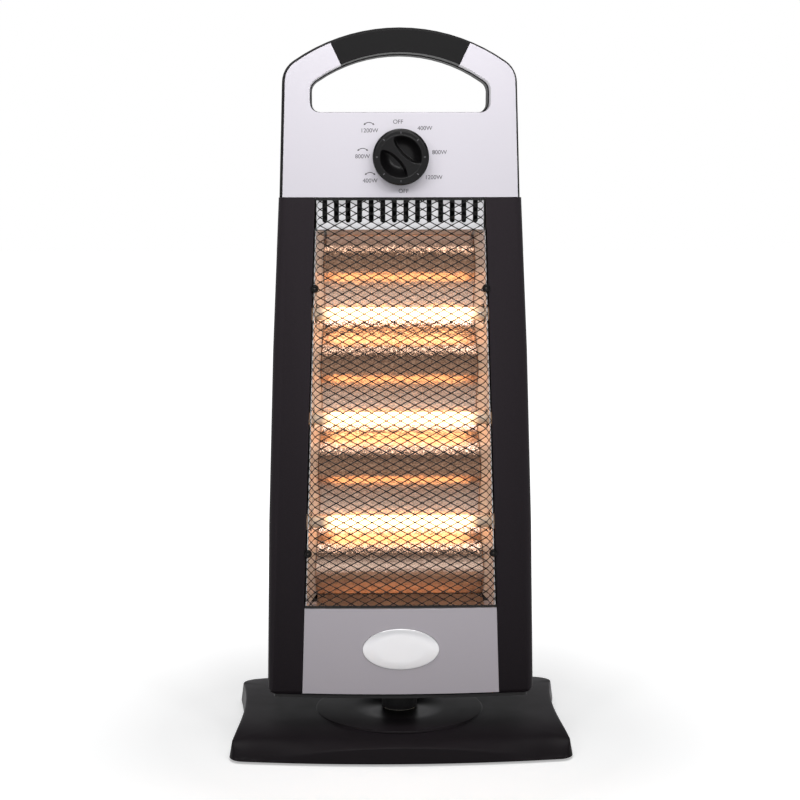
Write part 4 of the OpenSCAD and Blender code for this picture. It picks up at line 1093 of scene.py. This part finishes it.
def coil(level, pitch):
    """A close spiral of wire along the tube's axis with straight tails in the end caps."""
    half, radius, wire, tail_end, per_turn = 66.0, 1.7, 0.28, 81.0, 8
    stops = int(2 * half / pitch) * per_turn
    path = [(-tail_end, 0.0, 0.0), (-half - 2, 0.0, 0.0)]
    for i in range(stops + 1):
        a = 2 * math.pi * i / per_turn
        path.append((-half + 2 * half * i / stops, radius * math.cos(a), radius * math.sin(a)))
    path += [(half + 2, 0.0, 0.0), (tail_end, 0.0, 0.0)]
    path = [Vector((x, LAMP_Y + y, level + z)) for x, y, z in path]
    rings = []
    for i, p in enumerate(path):
        way = heading(path, i)
        side = way.cross(Vector((0, 0, 1)) if abs(way.z) < 0.9 else Vector((0, 1, 0))).normalized()
        rings.append(section(p, side, side.cross(way), wire, 4))
    return loft(rings, start_cap=True, end_cap=True)


# ---- Inner parts ----


def build_inner():
    steel = plated_steel()
    dress(["spindle_nut", "drive_arm", "osc_motor", "crank", "pivot_spindle"], steel, width=0.15)
    dress(["base_screws", "case_screws"], steel, width=0.15)
    dress(["arm_clip"], plated_steel("Steel_spring_blued", "5A5C60", rough=0.3), width=0.1)
    nylon = plain_moulding("Nylon_moulded_natural", "E4E0D2")
    dress(["thrust_washer", "swivel_bush", "terminal_block", "tip_plunger"], nylon, width=0.2)
    thermoset = plain_moulding("Thermoset_moulded_cream", "B9AE96", rough=0.5)
    dress(["rotary_switch", "thermal_cutout", "tip_switch"], thermoset, width=0.3)
    dress(["wire_bundle"], braided_sleeve())
    dress(["cord_gland"], moulded_rubber("Rubber_moulded_gland", linear("121212")), width=0.3)
    build_tip_spring(plated_steel("Steel_spring_drawn", "8A8A8C", rough=0.3))


def build_tip_spring(steel):
    low, high = box_mm("tip_spring")
    cx, cy = (low[0] + high[0]) / 2, (low[1] + high[1]) / 2
    wire, turns, per_turn = 0.3, 4, 16
    radius = (high[0] - low[0]) / 2 - 0.35
    stops, climb = turns * per_turn, high[2] - low[2] - 2 * wire
    path = []
    for i in range(stops + 1):
        a = 2 * math.pi * i / per_turn
        z = low[2] + wire + climb * (i / stops)
        path.append(Vector((cx + radius * math.cos(a), cy + radius * math.sin(a), z)))
    rings = []
    for i, p in enumerate(path):
        out = (p - Vector((cx, cy, p.z))).normalized()
        rings.append(section(p, out, heading(path, i).cross(out), wire, 8))
    points, faces = loft(rings, start_cap=True, end_cap=True)
    new_piece("Tip_spring_coil", points, faces, steel, "base", ["tip_spring"])


# ---- Stage, in metres ----

CAMERA_PLACE = (-0.0339, -1.5345, 0.4867)
CAMERA_YAW, CAMERA_PITCH, CAMERA_ROLL = 0.0227, 0.1313, 0.0009
SENSOR_MM, FOCAL_PX, IMAGE_PX = 36.0, 1846.8, 800.0
FLOOR_HALF = 8.0
# The floor is lifted to white for rays that show it, from the heater's shadow outwards
LIFT_FROM, LIFT_TO, LIFT_NEAR = 0.2, 0.6, 0.42
FRONT_LIGHT_X, FRONT_LIGHT_Y, FRONT_LIGHT_Z, FRONT_AIM_Z = (-0.75, -0.25, 0.25, 0.75), -1.3, 1.0, 0.45
FRONT_LIGHT_SIZE, FRONT_LIGHT_ANGLE = 0.13, math.radians(41)
TOP_LIGHT_PLACE, TOP_LIGHT_AIM, TOP_LIGHT_SIZE = (0.0, -0.25, 1.25), (0.0, -0.05, 0.0), 0.8


def build_stage():
    bpy.context.scene.view_settings.view_transform = "Standard"
    build_camera()
    build_floor()
    build_world()
    build_lights()


def stand(name, data):
    """A new object of the stage."""
    item = bpy.data.objects.new(name, data)
    bpy.context.scene.collection.objects.link(item)
    return item


def aim(item, target):
    way = Vector(target) - item.location
    item.rotation_euler = way.to_track_quat("-Z", "Y").to_euler()


def build_camera():
    camera = stand("Camera", bpy.data.cameras.new("Camera"))
    camera.location = CAMERA_PLACE
    level = math.cos(CAMERA_PITCH)
    ahead = Vector((math.sin(CAMERA_YAW) * level, math.cos(CAMERA_YAW) * level, -math.sin(CAMERA_PITCH)))
    roll = Matrix.Rotation(CAMERA_ROLL, 4, ahead)
    camera.rotation_euler = (roll @ ahead.to_track_quat("-Z", "Y").to_matrix().to_4x4()).to_euler()
    camera.data.sensor_width = SENSOR_MM
    camera.data.lens = FOCAL_PX * SENSOR_MM / IMAGE_PX
    camera.data.clip_start, camera.data.clip_end = 0.05, 60.0
    bpy.context.scene.camera = camera


def build_floor():
    mesh = bpy.data.meshes.new("Floor")
    corners = [(x * FLOOR_HALF, y * FLOOR_HALF, 0) for x, y in ((-1, -1), (1, -1), (1, 1), (-1, 1))]
    mesh.from_pydata(corners, [], [(0, 1, 2, 3)])
    mesh.materials.append(white_paper())
    floor = stand("Floor", mesh)


def white_paper():
    # Matt white paper sweep: grey for the light that it throws back, and white where it is seen.
    values = {"Base_Color": linear("7C7C7D"), "Roughness": 0.9, "Specular_IOR_Level": 0.1}
    material, tree, shader = finish("Paper_white_backdrop", **values)
    near = add(tree, "ShaderNodeTexCoord")
    apart = add(tree, "ShaderNodeVectorMath", {"operation": "LENGTH"}, links={0: near.outputs["Object"]})
    level = add(
        tree,
        "ShaderNodeMapRange",
        values={"From Min": LIFT_FROM, "From Max": LIFT_TO, "To Min": LIFT_NEAR, "To Max": 1.0},
        links={"Value": apart.outputs["Value"]},
    )
    lift = add(tree, "ShaderNodeEmission", values={"Color": WHITE}, links={"Strength": level.outputs[0]})
    bright = add(tree, "ShaderNodeBsdfDiffuse", values={"Color": linear("F0F0F0")})
    both = add(tree, "ShaderNodeAddShader", links={0: bright.outputs[0], 1: lift.outputs[0]})
    seen = any_ray(tree, "Is Camera Ray", "Is Glossy Ray", "Is Transmission Ray")
    mix = add(tree, "ShaderNodeMixShader", links={0: seen, 1: shader.outputs[0], 2: both.outputs[0]})
    tree.links.new(mix.outputs[0], tree.nodes["Material Output"].inputs["Surface"])
    return material


def any_ray(tree, *kinds):
    """1 for a ray of any of these kinds, else 0."""
    rays = add(tree, "ShaderNodeLightPath")
    found = rays.outputs[kinds[0]]
    for kind in kinds[1:]:
        links = {0: found, 1: rays.outputs[kind]}
        found = add(tree, "ShaderNodeMath", {"operation": "MAXIMUM"}, links=links).outputs[0]
    return found


def build_world():
    """Pale surroundings; gloss sees the white sweep low down, and a dimmer room above it and in front."""
    world = bpy.data.worlds.new("Pale_surroundings")
    bpy.context.scene.world = world
    world.use_nodes = True
    tree = world.node_tree
    plain = tree.nodes["Background"]
    plain.inputs["Color"].default_value = (0.97, 0.98, 1.0, 1.0)
    plain.inputs["Strength"].default_value = light().sky_strength
    way = add(tree, "ShaderNodeTexCoord")
    apart = add(tree, "ShaderNodeSeparateXYZ", links={"Vector": way.outputs["Generated"]})
    sweep = add(
        tree,
        "ShaderNodeMapRange",
        values={"From Min": 0.05, "From Max": 0.5, "To Min": 1.0, "To Max": 0.0},
        links={"Value": apart.outputs["Z"]},
    )
    dim = light().room_strength
    room = add(
        tree,
        "ShaderNodeMapRange",
        values={"From Min": -0.4, "From Max": 0.5, "To Min": dim, "To Max": dim / 2},
        links={"Value": apart.outputs["Y"]},
    )
    links = {0: sweep.outputs[0], 1: room.outputs[0]}
    level = add(tree, "ShaderNodeMath", {"operation": "MAXIMUM"}, links=links)
    mirrored = add(
        tree,
        "ShaderNodeBackground",
        values={"Color": (0.98, 0.98, 1.0, 1.0)},
        links={"Strength": level.outputs[0]},
    )
    shown = add(tree, "ShaderNodeBackground", values={"Color": WHITE, "Strength": 1.0})
    glossy, straight = any_ray(tree, "Is Glossy Ray"), any_ray(tree, "Is Camera Ray", "Is Transmission Ray")
    unseen = add(tree, "ShaderNodeMixShader", links={0: glossy, 1: plain.outputs[0], 2: mirrored.outputs[0]})
    mix = add(tree, "ShaderNodeMixShader", links={0: straight, 1: unseen.outputs[0], 2: shown.outputs[0]})
    tree.links.new(mix.outputs[0], tree.nodes["World Output"].inputs["Surface"])


def build_lights():
    """A row of wide soft lamps aimed high, which fade towards the heater's foot, and one above."""
    for i, x in enumerate(FRONT_LIGHT_X):
        name = "Front_light_%d" % (i + 1)
        data = bpy.data.lights.new(name, "SPOT")
        data.energy, data.shadow_soft_size = light().front_power, FRONT_LIGHT_SIZE
        data.spot_size, data.spot_blend = FRONT_LIGHT_ANGLE, 1.0
        lamp = stand(name, data)
        lamp.location = (x, FRONT_LIGHT_Y, FRONT_LIGHT_Z)
        aim(lamp, (0.0, 0.0, FRONT_AIM_Z))
    data = bpy.data.lights.new("Top_light", "AREA")
    data.energy, data.size = light().top_power, TOP_LIGHT_SIZE
    lamp = stand("Top_light", data)
    lamp.location = TOP_LIGHT_PLACE
    aim(lamp, TOP_LIGHT_AIM)


# ---- Operators ----


class HEATER_OT_stage(bpy.types.Operator):
    """Sets the camera, the pale floor and the soft light"""

    bl_idname = "heater.stage"
    bl_label = "Set the stage"

    def execute(self, context):
        build_stage()
        return {"FINISHED"}


class HEATER_OT_base(bpy.types.Operator):
    """Makes the base moulding with its disc and finishes its cover and feet"""

    bl_idname = "heater.base"
    bl_label = "Base"

    def execute(self, context):
        build_base()
        return {"FINISHED"}


class HEATER_OT_case(bpy.types.Operator):
    """Finishes the columns and the rear mouldings"""

    bl_idname = "heater.case"
    bl_label = "Columns and rear"

    def execute(self, context):
        build_case()
        return {"FINISHED"}


class HEATER_OT_cap(bpy.types.Operator):
    """Finishes the silver cap and the handle's grip"""

    bl_idname = "heater.cap"
    bl_label = "Cap and grip"

    def execute(self, context):
        build_cap()
        return {"FINISHED"}


class HEATER_OT_dial(bpy.types.Operator):
    """Makes the knob and the dial print"""

    bl_idname = "heater.dial"
    bl_label = "Dial"

    def execute(self, context):
        build_dial()
        return {"FINISHED"}


class HEATER_OT_panel(bpy.types.Operator):
    """Finishes the lower panel and makes the blank oval plate"""

    bl_idname = "heater.panel"
    bl_label = "Lower panel"

    def execute(self, context):
        build_panel()
        return {"FINISHED"}


class HEATER_OT_guard(bpy.types.Operator):
    """Makes the diamond mesh guard and its clips"""

    bl_idname = "heater.guard"
    bl_label = "Mesh guard"

    def execute(self, context):
        build_guard()
        return {"FINISHED"}


class HEATER_OT_reflector(bpy.types.Operator):
    """Makes the hammered reflector and finishes the bright sheets round it"""

    bl_idname = "heater.reflector"
    bl_label = "Reflector"

    def execute(self, context):
        build_reflector()
        return {"FINISHED"}


class HEATER_OT_lamps(bpy.types.Operator):
    """Makes the lamps glow, with their wound filaments, end caps and brackets"""

    bl_idname = "heater.lamps"
    bl_label = "Lamps"

    def execute(self, context):
        build_lamps()
        return {"FINISHED"}


class HEATER_OT_inner(bpy.types.Operator):
    """Finishes the drive, the switches, the wires and the screws"""

    bl_idname = "heater.inner"
    bl_label = "Inner parts"

    def execute(self, context):
        build_inner()
        return {"FINISHED"}


STEPS = (
    HEATER_OT_stage,
    HEATER_OT_base,
    HEATER_OT_case,
    HEATER_OT_cap,
    HEATER_OT_dial,
    HEATER_OT_panel,
    HEATER_OT_guard,
    HEATER_OT_reflector,
    HEATER_OT_lamps,
    HEATER_OT_inner,
)


class HEATER_PT_panel(bpy.types.Panel):
    """Lists the heater's sizes, colours, light and pieces"""

    bl_idname = "HEATER_PT_panel"
    bl_label = "Halogen heater"
    bl_space_type = "VIEW_3D"
    bl_region_type = "UI"
    bl_category = "Heater"

    def draw(self, context):
        scene = context.scene
        for group in (scene.heater_sizes, scene.heater_colours, scene.heater_light):
            box = self.layout.box()
            for name in group.__annotations__:
                box.prop(group, name)
        for step in STEPS:
            self.layout.operator(step.bl_idname)


GROUPS = (HeaterSizes, HeaterColours, HeaterLight)


def register():
    for item in GROUPS + STEPS + (HEATER_PT_panel,):
        bpy.utils.register_class(item)
    bpy.types.Scene.heater_sizes = PointerProperty(type=HeaterSizes)
    bpy.types.Scene.heater_colours = PointerProperty(type=HeaterColours)
    bpy.types.Scene.heater_light = PointerProperty(type=HeaterLight)


def unregister():
    del bpy.types.Scene.heater_light
    del bpy.types.Scene.heater_colours
    del bpy.types.Scene.heater_sizes
    for item in reversed(GROUPS + STEPS + (HEATER_PT_panel,)):
        bpy.utils.unregister_class(item)


def main():
    register()
    bpy.ops.heater.stage()
    bpy.ops.heater.base()
    bpy.ops.heater.case()
    bpy.ops.heater.cap()
    bpy.ops.heater.dial()
    bpy.ops.heater.panel()
    bpy.ops.heater.guard()
    bpy.ops.heater.reflector()
    bpy.ops.heater.lamps()
    bpy.ops.heater.inner()


if __name__ == "__main__":
    main()
